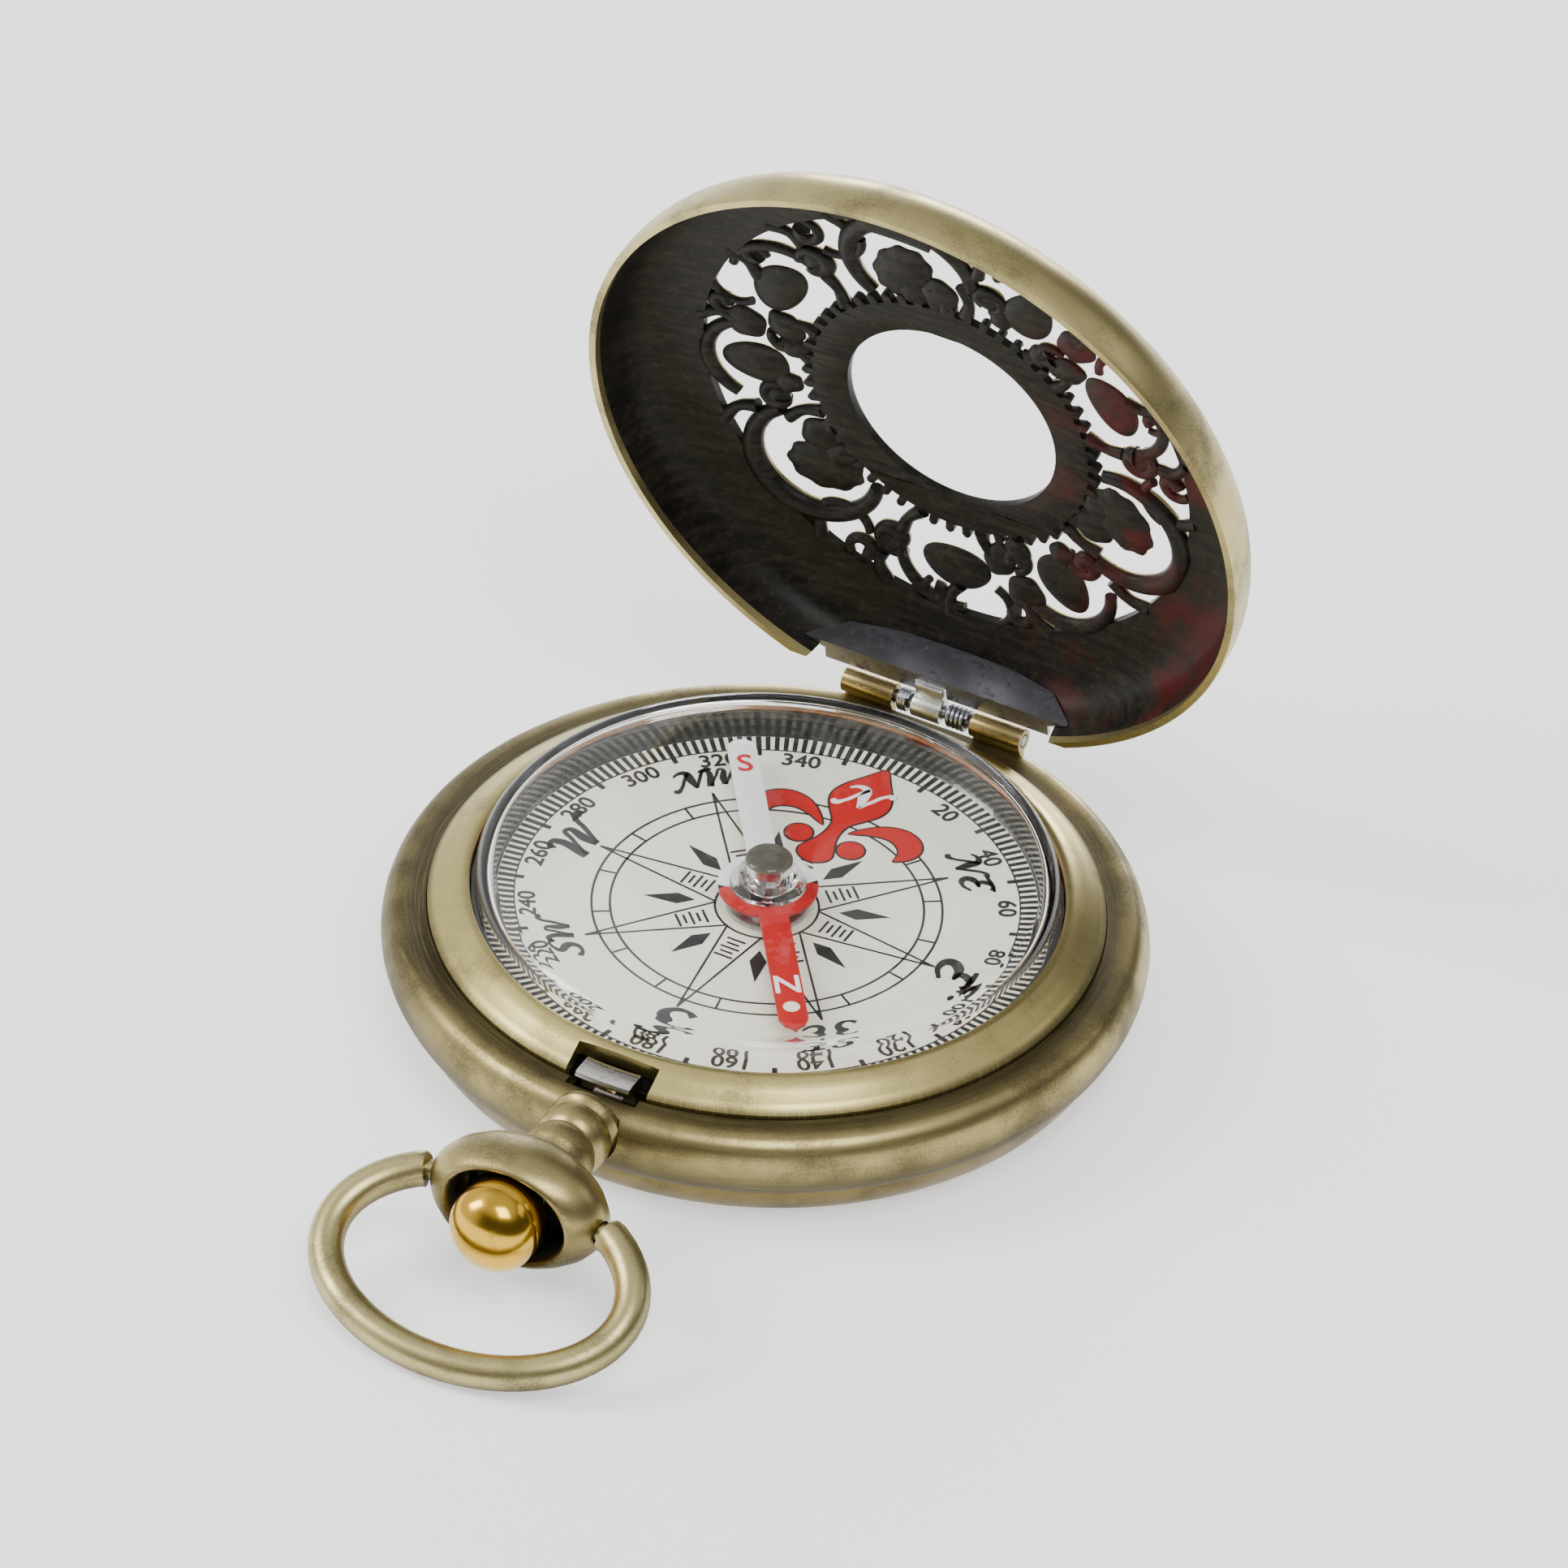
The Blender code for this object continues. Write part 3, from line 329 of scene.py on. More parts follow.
def flat_shape(name, outlines, z, thick=0.012):
    """Filled outlines, each a list of (x, y), as a thin solid. An outline inside another one is a hole."""
    settle()
    curve = bpy.data.curves.new(name, "CURVE")
    curve.dimensions = "2D"
    curve.fill_mode = "BOTH"
    curve.extrude = thick / 2 * MM
    for outline in outlines:
        spline = curve.splines.new("POLY")
        spline.points.add(len(outline) - 1)
        for point, (x, y) in zip(spline.points, outline):
            point.co = (x * MM, y * MM, 0, 1)
        spline.use_cyclic_u = True
    obj = drawn(name, curve)
    obj.location = (0, 0, z * MM)
    return bake_place(obj)


def lettering(text, height, x, y, turn, z, bold, thick=0.012):
    """One word in the plain built-in type, centred on a place and turned."""
    settle()
    bpy.ops.object.text_add(location=(0, 0, 0))
    obj = bpy.context.object
    obj.data.body = text
    obj.data.size = height * 1.4 * MM
    obj.data.extrude = thick / 2 * MM
    obj.data.align_x = "CENTER"
    obj.data.align_y = "CENTER"
    obj.data.offset = bold * height * MM
    obj.data.resolution_u = 3
    bpy.ops.object.convert(target="MESH")
    obj = named("letters")
    place = Matrix.Translation((x * MM, y * MM, z * MM)) @ Matrix.Rotation(turn, 4, "Z")
    return move_by(obj, place)


def polar(radius, angle):
    return radius * math.cos(angle), radius * math.sin(angle)


def arc(radius, start, end, count, centre=(0, 0)):
    """Points on an arc, its angles in degrees."""
    angles = [math.radians(start + (end - start) * i / (count - 1)) for i in range(count)]
    return [(centre[0] + radius * math.cos(a), centre[1] + radius * math.sin(a)) for a in angles]


def circle(radius, count, centre=(0, 0)):
    return arc(radius, 0, 360 - 360 / count, count, centre)


# Shader building


class Socket:
    """A shader output that takes part in arithmetic. Each operation adds its Math node."""

    def __init__(self, paint, output):
        self.paint = paint
        self.output = output

    def __add__(self, other):
        return self.paint.math("ADD", self, other)

    def __sub__(self, other):
        return self.paint.math("SUBTRACT", self, other)

    def __rsub__(self, other):
        return self.paint.math("SUBTRACT", other, self)

    def __mul__(self, other):
        return self.paint.math("MULTIPLY", self, other)

    def __truediv__(self, other):
        return self.paint.math("DIVIDE", self, other)

    __radd__ = __add__
    __rmul__ = __mul__


class Paint:
    """A material under construction, with its Principled shader."""

    def __init__(self, name, **constants):
        self.material = bpy.data.materials.new(name)
        self.material.use_nodes = True
        self.tree = self.material.node_tree
        self.shader = self.tree.nodes["Principled BSDF"]
        for key, value in constants.items():
            self.shader.inputs[key.replace("_", " ")].default_value = value

    def node(self, kind, settings=None, output=0, **values):
        """Adds a node, sets it up, feeds its sockets and returns one of its outputs."""
        node = self.tree.nodes.new(kind)
        for key, value in (settings or {}).items():
            setattr(node, key, value)
        for key, value in values.items():
            self.feed(node.inputs[int(key[1:]) if key[0] == "i" and key[1:].isdigit() else key], value)
        return Socket(self, node.outputs[output])

    def feed(self, entry, value):
        if isinstance(value, Socket):
            self.tree.links.new(value.output, entry)
        else:
            entry.default_value = value

    def math(self, operation, first, second=0.0):
        return self.node("ShaderNodeMath", {"operation": operation}, i0=first, i1=second)

    def place(self):
        """The object's own coordinates in millimetres, as x, y and z."""
        coords = self.node("ShaderNodeTexCoord", output="Object")
        scaled = self.node("ShaderNodeVectorMath", {"operation": "SCALE"}, Vector=coords, Scale=1 / MM)
        split = self.tree.nodes.new("ShaderNodeSeparateXYZ")
        self.feed(split.inputs[0], scaled)
        return [Socket(self, output) for output in split.outputs]

    def vector(self, x, y, z):
        return self.node("ShaderNodeCombineXYZ", X=x, Y=y, Z=z)

    def noise(self, vector, scale, detail=3.0, roughness=0.55):
        values = {"Scale": scale, "Detail": detail, "Roughness": roughness}
        return self.node("ShaderNodeTexNoise", Vector=vector, **values)

    def steps(self, value, low, high, low_out=0.0, high_out=1.0):
        """A smooth rise from low to high."""
        ends = {"i1": low, "i2": high, "i3": low_out, "i4": high_out}
        return self.node("ShaderNodeMapRange", {"interpolation_type": "SMOOTHSTEP"}, Value=value, **ends)

    def mix(self, factor, first, second):
        node = self.tree.nodes.new("ShaderNodeMix")
        node.data_type = "RGBA"
        self.feed(node.inputs["Factor"], factor)
        for key, colour in (("A", first), ("B", second)):
            entry = next(s for s in node.inputs if s.name == key and s.type == "RGBA")
            self.feed(entry, colour if isinstance(colour, Socket) else (*colour, 1.0))
        return Socket(self, next(s for s in node.outputs if s.type == "RGBA"))

    def bump(self, height, strength, distance=0.05):
        return self.node("ShaderNodeBump", Height=height, Strength=strength, Distance=distance * MM)

    def drive(self, **sockets):
        for key, value in sockets.items():
            self.feed(self.shader.inputs[key.replace("_", " ")], value)
        return self


def round_z(paint):
    """Radius and the two direction parts about Z."""
    x, y, z = paint.place()
    radius = paint.math("SQRT", x * x + y * y)
    return radius, x / (radius + 0.001), y / (radius + 0.001), z


BRASS = (0.40, 0.33, 0.14)
PATINA = (0.045, 0.036, 0.018)


def antique(name, grain, bright=0.5, colour=BRASS, dark=PATINA, painted_shade=None, rough=0.33):
    """Brushed and darkened brass, its grain "round", "radial" or "plain". The optional mask function gives 0
    to 1 of painted shade, which darkens the colour where it is low.
    """
    paint = Paint(name, Metallic=1.0)
    x, y, z = paint.place()
    if grain == "plain":
        brushed = paint.vector(x * 0.25, y * 6.0, z * 6.0)
    else:
        radius, along, across, height = round_z(paint)
        if grain == "round":
            brushed = paint.vector(along * 2.5, across * 2.5, radius * 9.0 + height * 9.0)
        else:
            brushed = paint.vector(along * 150.0, across * 150.0, radius * 0.45 + height * 0.45)
    streak = paint.noise(brushed, 1.6, 4.0, 0.65)
    speck = paint.noise(paint.vector(x, y, z), 7.0, 3.0, 0.6)
    cloud = paint.noise(paint.vector(x, y, z), 0.22, 3.0, 0.55)
    blend = cloud * 0.6 + speck * 0.25 + streak * 0.25
    tarnish = paint.steps(blend, 0.42 + bright * 0.2, 0.66 + bright * 0.2)
    shade = 1.0 - tarnish * 0.75
    # Painted shade: the part's mask darkens the brass where shade falls on it.
    if painted_shade:
        shade = shade * painted_shade(paint)
    tone = paint.mix(shade, dark, colour)
    tone = paint.mix(paint.steps(streak, 0.45, 0.75) * 0.3, tone, tuple(1.35 * part for part in colour))
    roughness = rough + 0.22 * (1.0 - shade) + 0.10 * (streak - 0.5)
    relief = paint.bump(streak * 0.7 + speck * 0.3, 0.22, 0.03)
    paint.drive(Base_Color=tone, Roughness=roughness, Normal=relief)
    return paint.material


def band_wear(paint):
    """Painted shade: darker in the groove beside the bezel, on the lower side and towards dial west, full
    brightness on the band's rounded shoulder.
    """
    radius, along, across, height = round_z(paint)
    top = paint.steps(radius, BEZEL_R + 0.5, CASE_R - 1.0, 0.22, 1.0)
    side = paint.steps(height, MID - 1.5, MID + 1.0, 0.12, 1.0)
    west = paint.steps(along + across * 0.25, -0.95, -0.45, 0.40, 1.0)
    return top * side * west


def bezel_wear(paint):
    # Painted shade: darker at the bezel's outer edge, where it meets the band.
    radius = round_z(paint)[0]
    return paint.steps(radius, BEZEL_R - 0.05, BEZEL_R - 0.5, 0.3, 1.0)


def cup_wear(paint):
    # Painted shade: darker underneath and towards the back of the cup, by the neck.
    x, y, z = paint.place()
    back = paint.steps(y, -CUP_BACK - 2.0, -CUP_BACK, 1.0, 0.2)
    return back * paint.steps(z, PENDANT_Z - 2.6, PENDANT_Z + 1.6, 0.08, 1.0)


def bow_wear(paint):
    """Painted shade: dark on the wire's underside."""
    x, y, z = paint.place()
    slope = (BOW_HINGE.z - low_of("bow").z - 1.08) / (BOW_HINGE.y - low_of("bow").y - 1.08)
    middle = BOW_HINGE.z - (BOW_HINGE.y - y) * slope
    return paint.steps(z - middle, -0.45, 0.75, 0.08, 1.0)


def lacquer(name):
    """The lid's inner side: brown-black and glossy, streaked, with a faint red bloom."""
    paint = Paint(name, Metallic=0.0, Specular_IOR_Level=0.22, IOR=1.45)
    x, y, z = paint.place()
    streak = paint.noise(paint.vector(x * 0.3, y * 0.3, z * 2.2), 1.0, 4.0, 0.65)
    bloom = paint.steps(paint.noise(paint.vector(x, y, z), 0.22, 3.0), 0.45, 0.66)
    side = paint.steps(x, 3.0, 11.0)
    tone = paint.mix(paint.steps(streak, 0.35, 0.75), (0.005, 0.0045, 0.0035), (0.024, 0.021, 0.014))
    fleck = paint.noise(paint.vector(x, y, z), 1.6, 4.0, 0.7)
    ring = paint.steps(round_z(paint)[0], 9.5, 11.0, 1.0, 0.25)
    tone = paint.mix(paint.steps(fleck, 0.5, 0.68) * ring, tone, (0.075, 0.055, 0.028))
    tone = paint.mix(bloom * side * 0.7, tone, (0.085, 0.006, 0.006))
    paint.drive(Base_Color=tone, Roughness=0.30 + 0.25 * streak, Normal=paint.bump(streak, 0.12, 0.03))
    return paint.material


def scuffed_steel(name, colour=(0.36, 0.36, 0.41), dark=(0.04, 0.038, 0.04), amount=0.45):
    paint = Paint(name, Metallic=1.0)
    x, y, z = paint.place()
    blot = paint.noise(paint.vector(x, y, z), 0.75, 5.0, 0.72)
    scratch = paint.noise(paint.vector(x * 5.0, y * 0.6, z * 5.0), 1.4, 3.0, 0.6)
    stain = paint.steps(blot, 0.62 - amount * 0.3, 0.76 - amount * 0.2)
    tone = paint.mix(stain * 0.85, colour, dark)
    tone = paint.mix(paint.steps(scratch, 0.62, 0.72) * 0.35, tone, (0.40, 0.40, 0.44))
    relief = paint.bump(blot + scratch * 0.4, 0.18, 0.04)
    paint.drive(Base_Color=tone, Roughness=0.34 + 0.3 * stain, Normal=relief)
    return paint.material


def bright_steel(name, colour=(0.70, 0.70, 0.71), rough=0.16):
    paint = Paint(name, Metallic=1.0)
    x, y, z = paint.place()
    mark = paint.noise(paint.vector(x, y, z), 2.2, 4.0, 0.6)
    tone = paint.mix(paint.steps(mark, 0.45, 0.75) * 0.6, colour, (0.30, 0.29, 0.28))
    roughness = rough + 0.2 * paint.steps(mark, 0.4, 0.8)
    paint.drive(Base_Color=tone, Roughness=roughness, Normal=paint.bump(mark, 0.08, 0.03))
    return paint.material


def polished_brass(name, colour=(0.66, 0.40, 0.045), stain=(0.26, 0.14, 0.012), rough=0.14):
    paint = Paint(name, Metallic=1.0)
    x, y, z = paint.place()
    cloud = paint.noise(paint.vector(x, y, z), 0.8, 4.0, 0.6)
    fine = paint.noise(paint.vector(x, y * 4.0, z * 4.0), 4.0, 3.0, 0.6)
    spot = paint.steps(cloud * 0.7 + fine * 0.3, 0.52, 0.72)
    tone = paint.mix(spot * 0.55, colour, stain)
    roughness = rough + 0.18 * spot + 0.06 * fine
    paint.drive(Base_Color=tone, Roughness=roughness, Normal=paint.bump(fine, 0.06, 0.02))
    return paint.material


def glass(name, tint=(1.0, 1.0, 1.0), index=1.49):
    """Clear moulded crystal. Lamps light the dial straight through it."""
    paint = Paint(name, Roughness=0.0, Transmission_Weight=1.0, IOR=index)
    x, y, z = paint.place()
    haze = paint.noise(paint.vector(x, y, z), 0.35, 2.0)
    paint.drive(Base_Color=paint.mix(haze * 0.05, tint, (0.90, 0.94, 0.92)))
    clear = paint.tree.nodes.new("ShaderNodeBsdfTransparent")
    blend = paint.tree.nodes.new("ShaderNodeMixShader")
    ray = paint.tree.nodes.new("ShaderNodeLightPath")
    links = paint.tree.links
    links.new(ray.outputs["Is Shadow Ray"], blend.inputs[0])
    links.new(paint.shader.outputs[0], blend.inputs[1])
    links.new(clear.outputs[0], blend.inputs[2])
    links.new(blend.outputs[0], paint.tree.nodes["Material Output"].inputs["Surface"])
    return paint.material


def card(name):
    """The dial's cream face, very slightly mottled, under a satin varnish."""
    paint = Paint(name, Coat_Weight=0.2, Coat_Roughness=0.25, Metallic=0.0)
    x, y, z = paint.place()
    wide = paint.noise(paint.vector(x, y, z), 0.12, 2.0)
    fine = paint.noise(paint.vector(x, y, z), 6.0, 2.0)
    tone = paint.mix(paint.steps(wide, 0.3, 0.75), (0.80, 0.79, 0.66), (0.72, 0.71, 0.58))
    tone = paint.mix(fine * 0.08, tone, (0.60, 0.58, 0.46))
    paint.drive(Base_Color=tone, Roughness=0.42 + 0.08 * fine)
    return paint.material


def enamel(name, colour, fleck, rough=0.32, coat=0.15):
    """Printed or sprayed paint with faint unevenness."""
    paint = Paint(name, Coat_Weight=coat, Coat_Roughness=0.12, Metallic=0.0)
    x, y, z = paint.place()
    cloud = paint.noise(paint.vector(x, y, z), 1.1, 3.0)
    tone = paint.mix(paint.steps(cloud, 0.35, 0.75) * 0.6, colour, fleck)
    paint.drive(Base_Color=tone, Roughness=rough + 0.1 * cloud, Normal=paint.bump(cloud, 0.05, 0.02))
    return paint.material


BAND_BRASS = antique("band_brass", "round", painted_shade=band_wear, bright=0.15)
# Painted shade: the back cover underneath the case takes a darker copy of the brass.
SHADED_BACK_BRASS = antique("shaded_back_brass", "round", 0.3, colour=(0.19, 0.145, 0.05), dark=(0.05, 0.037, 0.015))
BEZEL_BRASS = antique("bezel_brass", "radial", colour=(0.56, 0.47, 0.19), painted_shade=bezel_wear, rough=0.3)
LID_BRASS = antique("lid_brass", "plain", colour=(0.52, 0.44, 0.20), bright=0.4)
OPENWORK_BRASS = antique("openwork_brass", "plain", colour=(0.40, 0.33, 0.15), bright=0.3)
NECK_BRASS = antique("neck_brass", "plain", bright=0.15)
CUP_BRASS = antique("cup_brass", "plain", bright=0.15, painted_shade=cup_wear)
BOW_BRASS = antique("bow_brass", "plain", bright=0.3, colour=(0.50, 0.43, 0.20), painted_shade=bow_wear)
LACQUER = lacquer("lid_lacquer")
FLANGE_STEEL = scuffed_steel("flange_steel")
SPRING_STEEL = bright_steel("spring_steel", (0.34, 0.34, 0.38), 0.26)
HOOK_STEEL = bright_steel("hook_steel", (0.78, 0.76, 0.72), 0.16)
KNUCKLE_STEEL = bright_steel("knuckle_steel", (0.74, 0.73, 0.68), 0.3)
BARREL_BRASS = polished_brass("barrel_brass", (0.34, 0.26, 0.11), (0.06, 0.045, 0.02), 0.25)
GOLD = polished_brass("button_gold")
COPPER = polished_brass("bezel_copper", (0.60, 0.32, 0.16), (0.30, 0.14, 0.07), 0.25)
CRYSTAL_GLASS = glass("crystal_glass")
CAP_GLASS = glass("cap_glass", (0.97, 0.97, 0.95))
CARD = card("dial_card")
INK = enamel("black_ink", (0.012, 0.012, 0.012), (0.03, 0.03, 0.03), 0.4, 0.1)
RED_INK = enamel("red_ink", (0.40, 0.003, 0.002), (0.46, 0.006, 0.004), 0.45, 0.0)
WHITE_INK = enamel("white_ink", (0.82, 0.80, 0.78), (0.72, 0.70, 0.68), 0.35, 0.1)
NEEDLE_RED = enamel("needle_red_paint", (0.40, 0.002, 0.001), (0.34, 0.002, 0.001), 0.4, 0.05)
NEEDLE_WHITE = enamel("needle_white_paint", (0.76, 0.77, 0.76), (0.68, 0.69, 0.69))
LUMINOUS = enamel("luminous_dot", (0.78, 0.76, 0.60), (0.68, 0.68, 0.52), 0.5, 0.0)
BLACK = enamel("black_plastic", (0.014, 0.014, 0.013), (0.03, 0.03, 0.028), 0.35, 0.1)
RUBY = enamel("ruby", (0.40, 0.015, 0.03), (0.5, 0.03, 0.05), 0.08, 0.8)
DISC_GREY = bright_steel("cap_disc_grey", (0.22, 0.20, 0.17), 0.4)
BASE_GREY = bright_steel("pivot_base_grey", (0.46, 0.45, 0.44), 0.3)


def finish(obj, material, body, slot, *nodes):
    """Gives a piece its only material and its body, and hides the CAD nodes that it stands for."""
    obj.data.materials.clear()
    obj.data.materials.append(material)
    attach(obj, body)
    if nodes:
        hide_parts(*nodes)
    return obj


def paint_faces(obj, material, test):
    """A second material on the faces whose centre and normal, in millimetres, pass the test."""
    obj.data.materials.append(material)
    slot_number = len(obj.data.materials) - 1
    for face in obj.data.polygons:
        if test(face.center / MM, face.normal):
            face.material_index = slot_number
    return obj


def repaint(node, material):
    data = frame["nodes"][node].data
    data.materials.clear()
    data.materials.append(material)


# Case


def make_band():
    flat_y = high_of("mid_case").y
    rebate = BEZEL_R + 0.06
    shoulder = MID + 2.03
    rim = CASE_R - 0.9
    profile = [
        (rebate, shoulder),
        (rebate + 0.5, shoulder - 0.05),
        (rim - 0.75, shoulder - 0.03),
        (rim - 0.2, shoulder - 0.03),
        (rim + 0.12, MID + 1.86),
        (rim + 0.45, MID + 1.55),
        (rim + 0.70, MID + 1.08),
        (CASE_R - 0.05, MID + 0.55),
        (CASE_R, MID),
        (CASE_R - 0.05, MID - 0.55),
        (rim + 0.70, MID - 1.08),
        (rim + 0.45, MID - 1.60),
        (rim + 0.10, MID - 2.0),
        (rim - 0.25, MID - 2.23),
        (rim - 1.1, MID - 2.25),
        (rim - 1.1, MID - 1.0),
        (TRAY_R + 0.1, MID - 1.0),
        (TRAY_R + 0.1, MID + 1.1),
        (rebate, MID + 1.1),
    ]
    band = turned("case_band", profile, sides=192, edge=0)
    cut(band, block("hinge_flat", (-CASE_R, flat_y, 0), (CASE_R, CASE_R + 2, CASE_R)))
    seat_r = NECK_R + 0.03
    seat_profile = [(seat_r, NECK_START - 0.05), (seat_r, CASE_R + 2)]
    seat = turned("neck_seat", seat_profile, ring=False, edge=0, sides=64)
    cut(band, along_minus_y(seat))
    notch = (-2.35, -20.85, MID + 0.5), (2.35, -TRAY_R - 0.12, MID + 3)
    cut(band, block("latch_notch", *notch))
    bore = turned("rod_bore", [(0.62, 18), (0.62, 24)], ring=False, edge=0, sides=32)
    cut(band, along_minus_y(bore))
    smooth(band, 28)
    finish(band, BAND_BRASS, "case", "antique_brass", "mid_case")


def make_back():
    rim = high_of("back_cover").x
    seam = MID - 2.25 - 0.06
    profile = [
        (rim - 0.45, seam + 0.25),
        (rim - 0.45, seam),
        (rim, seam - 0.02),
        (rim - 0.04, seam - 0.25),
        (rim - 0.28, seam - 0.85),
        (rim - 0.5, 1.28),
        (rim - 0.85, 0.78),
        (rim - 1.35, 0.40),
        (rim - 2.0, 0.15),
        (rim - 2.7, 0.02),
        (rim - 3.2, 0.0),
    ]
    back = turned("back_shell", profile, ring=False, sides=192, edge=0)
    finish(smooth(back, 40), SHADED_BACK_BRASS, "case", "antique_brass", "back_cover")


def make_bezel():
    inner = low_of("crystal_gasket").x * -1 + 0.06
    top = high_of("bezel").z
    edge = MID + 2.33
    under = MID + 1.2
    profile = [
        (inner, top - 0.18),
        (inner + 0.05, top - 0.04),
        (inner + 0.22, top),
        (inner + 0.6, top - 0.08),
        ((inner + BEZEL_R) / 2, (top + edge) / 2 + 0.16),
        (BEZEL_R - 0.65, edge + 0.44),
        (BEZEL_R - 0.2, edge + 0.2),
        (BEZEL_R, edge - 0.05),
        (BEZEL_R, under),
        (BEZEL_R - 0.5, under),
        (BEZEL_R - 0.5, MID + 1.75),
        (inner, top - 0.7),
    ]
    bezel = turned("bezel_ring", profile, sides=192, edge=0)
    cut(bezel, block("window", (-2.7, -CASE_R, 0), (2.7, -18.5, CASE_R)))
    smooth(bezel, 30)
    finish(bezel, BEZEL_BRASS, "case", "antique_brass", "bezel")
    paint_faces(bezel, COPPER, lambda p, n: p.xy.length < inner + 0.12)


def make_crystal():
    wall = 0.85
    fillet = 1.1
    shoulder = MID + 5.4
    corner = CRYSTAL_R - fillet
    foot = low_of("crystal").z

    def dome(radius, drop):
        return CRYSTAL_TOP - drop - (CRYSTAL_TOP - shoulder) * (radius / corner) ** 2

    outside = [(corner * share, dome(corner * share, 0)) for share in [i / 12 for i in range(1, 12)]]
    outside += arc(fillet, 86, 0, 12, (corner, shoulder - fillet))
    inner = CRYSTAL_R - wall
    inside = arc(0.45, 0, 80, 6, (inner - 0.45, dome(corner, wall) - 0.45))
    inside += [(corner * share, dome(corner * share, wall)) for share in [i / 12 for i in range(11, 0, -1)]]
    profile = [*outside, (CRYSTAL_R, foot), (inner, foot), *inside]
    crystal = turned("crystal_dome", profile, ring=False, sides=192, edge=0)
    finish(smooth(crystal, 60), CRYSTAL_GLASS, "case", "crystal", "crystal")


# Dial


def kite(angle, inner, outer, half):
    """A slim four-sided mark that points outwards."""
    belly = inner + (outer - inner) * 0.35
    side = math.atan2(half, belly)
    return [polar(inner, angle), polar(belly, angle - side), polar(outer, angle), polar(belly, angle + side)]


def rose_point(angle, base_r, tip_r, half, line):
    """The outline of a long slim point, as two thin wedges that meet at its tip."""
    side = math.asin(half / base_r)
    outlines = []
    for sign in (-1, 1):
        foot = polar(base_r, angle + sign * side)
        tip = polar(tip_r, angle)
        along = Vector((tip[0] - foot[0], tip[1] - foot[1])).normalized()
        across = Vector((-along.y, along.x)) * line / 2
        far = Vector(tip)
        near = Vector(foot)
        corners = near + across, near - across, far - across, far + across
        outlines.append([tuple(corner) for corner in corners])
    tip_length = 1.0
    spread = half * tip_length / (tip_r - base_r)
    back = tip_r - tip_length
    side = math.atan2(spread, back)
    back_r = math.hypot(back, spread)
    outlines.append([polar(tip_r, angle), polar(back_r, angle + side), polar(back_r, angle - side)])
    return outlines


SCRIPT = {
    "N": [
        [(-0.62, -0.4, 0.05), (-0.52, -0.5, 0.09), (-0.36, -0.34, 0.05), (-0.22, 0.1, 0.05),
         (-0.1, 0.46, 0.06)],
        [(-0.62, 0.3, 0.03), (-0.44, 0.46, 0.06), (-0.18, 0.44, 0.1), (0.02, 0.0, 0.12), (0.2, -0.44, 0.05)],
        [(0.2, -0.44, 0.04), (0.32, 0.05, 0.05), (0.44, 0.4, 0.05), (0.62, 0.52, 0.06), (0.7, 0.4, 0.09)],
    ],
    "E": [
        [(0.42, 0.4, 0.08), (0.24, 0.52, 0.05), (-0.02, 0.36, 0.08), (-0.02, 0.1, 0.08), (0.22, 0.04, 0.04)],
        [(0.18, 0.04, 0.04), (-0.2, -0.04, 0.1), (-0.26, -0.34, 0.1), (0.04, -0.48, 0.06),
         (0.4, -0.28, 0.04)],
        [(-0.34, 0.46, 0.05), (0.05, 0.50, 0.07), (0.50, 0.48, 0.04)],
    ],
    "S": [
        [(0.42, 0.3, 0.09), (0.3, 0.5, 0.05), (-0.04, 0.44, 0.06), (-0.16, 0.2, 0.1), (0.12, -0.06, 0.12),
         (0.14, -0.36, 0.08), (-0.2, -0.5, 0.05), (-0.48, -0.34, 0.09)],
    ],
    "W": [
        [(-0.72, 0.34, 0.08), (-0.60, 0.48, 0.05), (-0.46, 0.42, 0.08), (-0.36, -0.46, 0.10)],
        [(-0.36, -0.46, 0.04), (-0.14, 0.1, 0.04), (0.04, 0.4, 0.05), (0.1, -0.1, 0.1), (0.16, -0.46, 0.08)],
        [(0.16, -0.46, 0.04), (0.4, 0.1, 0.05), (0.52, 0.42, 0.05), (0.7, 0.5, 0.06), (0.76, 0.36, 0.09)],
    ],
}


def script_word(word, height, x, y, turn, z):
    """Flowing capitals drawn with a broad pen, the word centred on a place and turned."""
    lines = []
    lean = 0.22
    pen = 1.35
    pitch = 1.05
    for number, letter in enumerate(word):
        shift = (number - (len(word) - 1) / 2) * pitch
        for stroke in SCRIPT[letter]:
            points = [(px + shift + lean * py, py, 0, half * pen) for px, py, half in stroke]
            lines.append([tuple(part * height for part in point) for point in points])
    obj = strokes("script", lines, sides=2, resolution=5)
    reshape(obj, lambda p: (p.x, p.y, 0.006 if p.z > 0 else -0.006))
    return move_by(obj, Matrix.Translation((x * MM, y * MM, z * MM)) @ Matrix.Rotation(turn, 4, "Z"))


def fleur_outlines():
    """The north ornament: a tall petal, two curled side petals and two beads, each an outline."""
    right = [(0, 15.6), (0.75, 14.2), (1.55, 13.0), (1.9, 12.0), (1.75, 11.1), (1.15, 10.2), (0.6, 9.5),
             (0.42, 8.9), (0.45, 7.9), (0.8, 6.9), (1.15, 6.1), (0.95, 5.5), (0.0, 5.0)]
    tall = right + [(-x, y) for x, y in reversed(right[1:-1])]
    petal = [(0.75, 8.5), (1.5, 9.6), (2.6, 10.5), (3.9, 10.75), (5.0, 10.25), (5.55, 9.3), (5.3, 8.3),
             (4.3, 7.5), (4.45, 8.3), (4.1, 9.0), (3.2, 9.45), (2.1, 9.25), (1.3, 8.85)]
    mirrored = [(-x, y) for x, y in reversed(petal)]
    beads = [circle(0.82, 28, (side * 1.75, 7.3)) for side in (-1, 1)]
    return [tall, petal, mirrored, *beads]


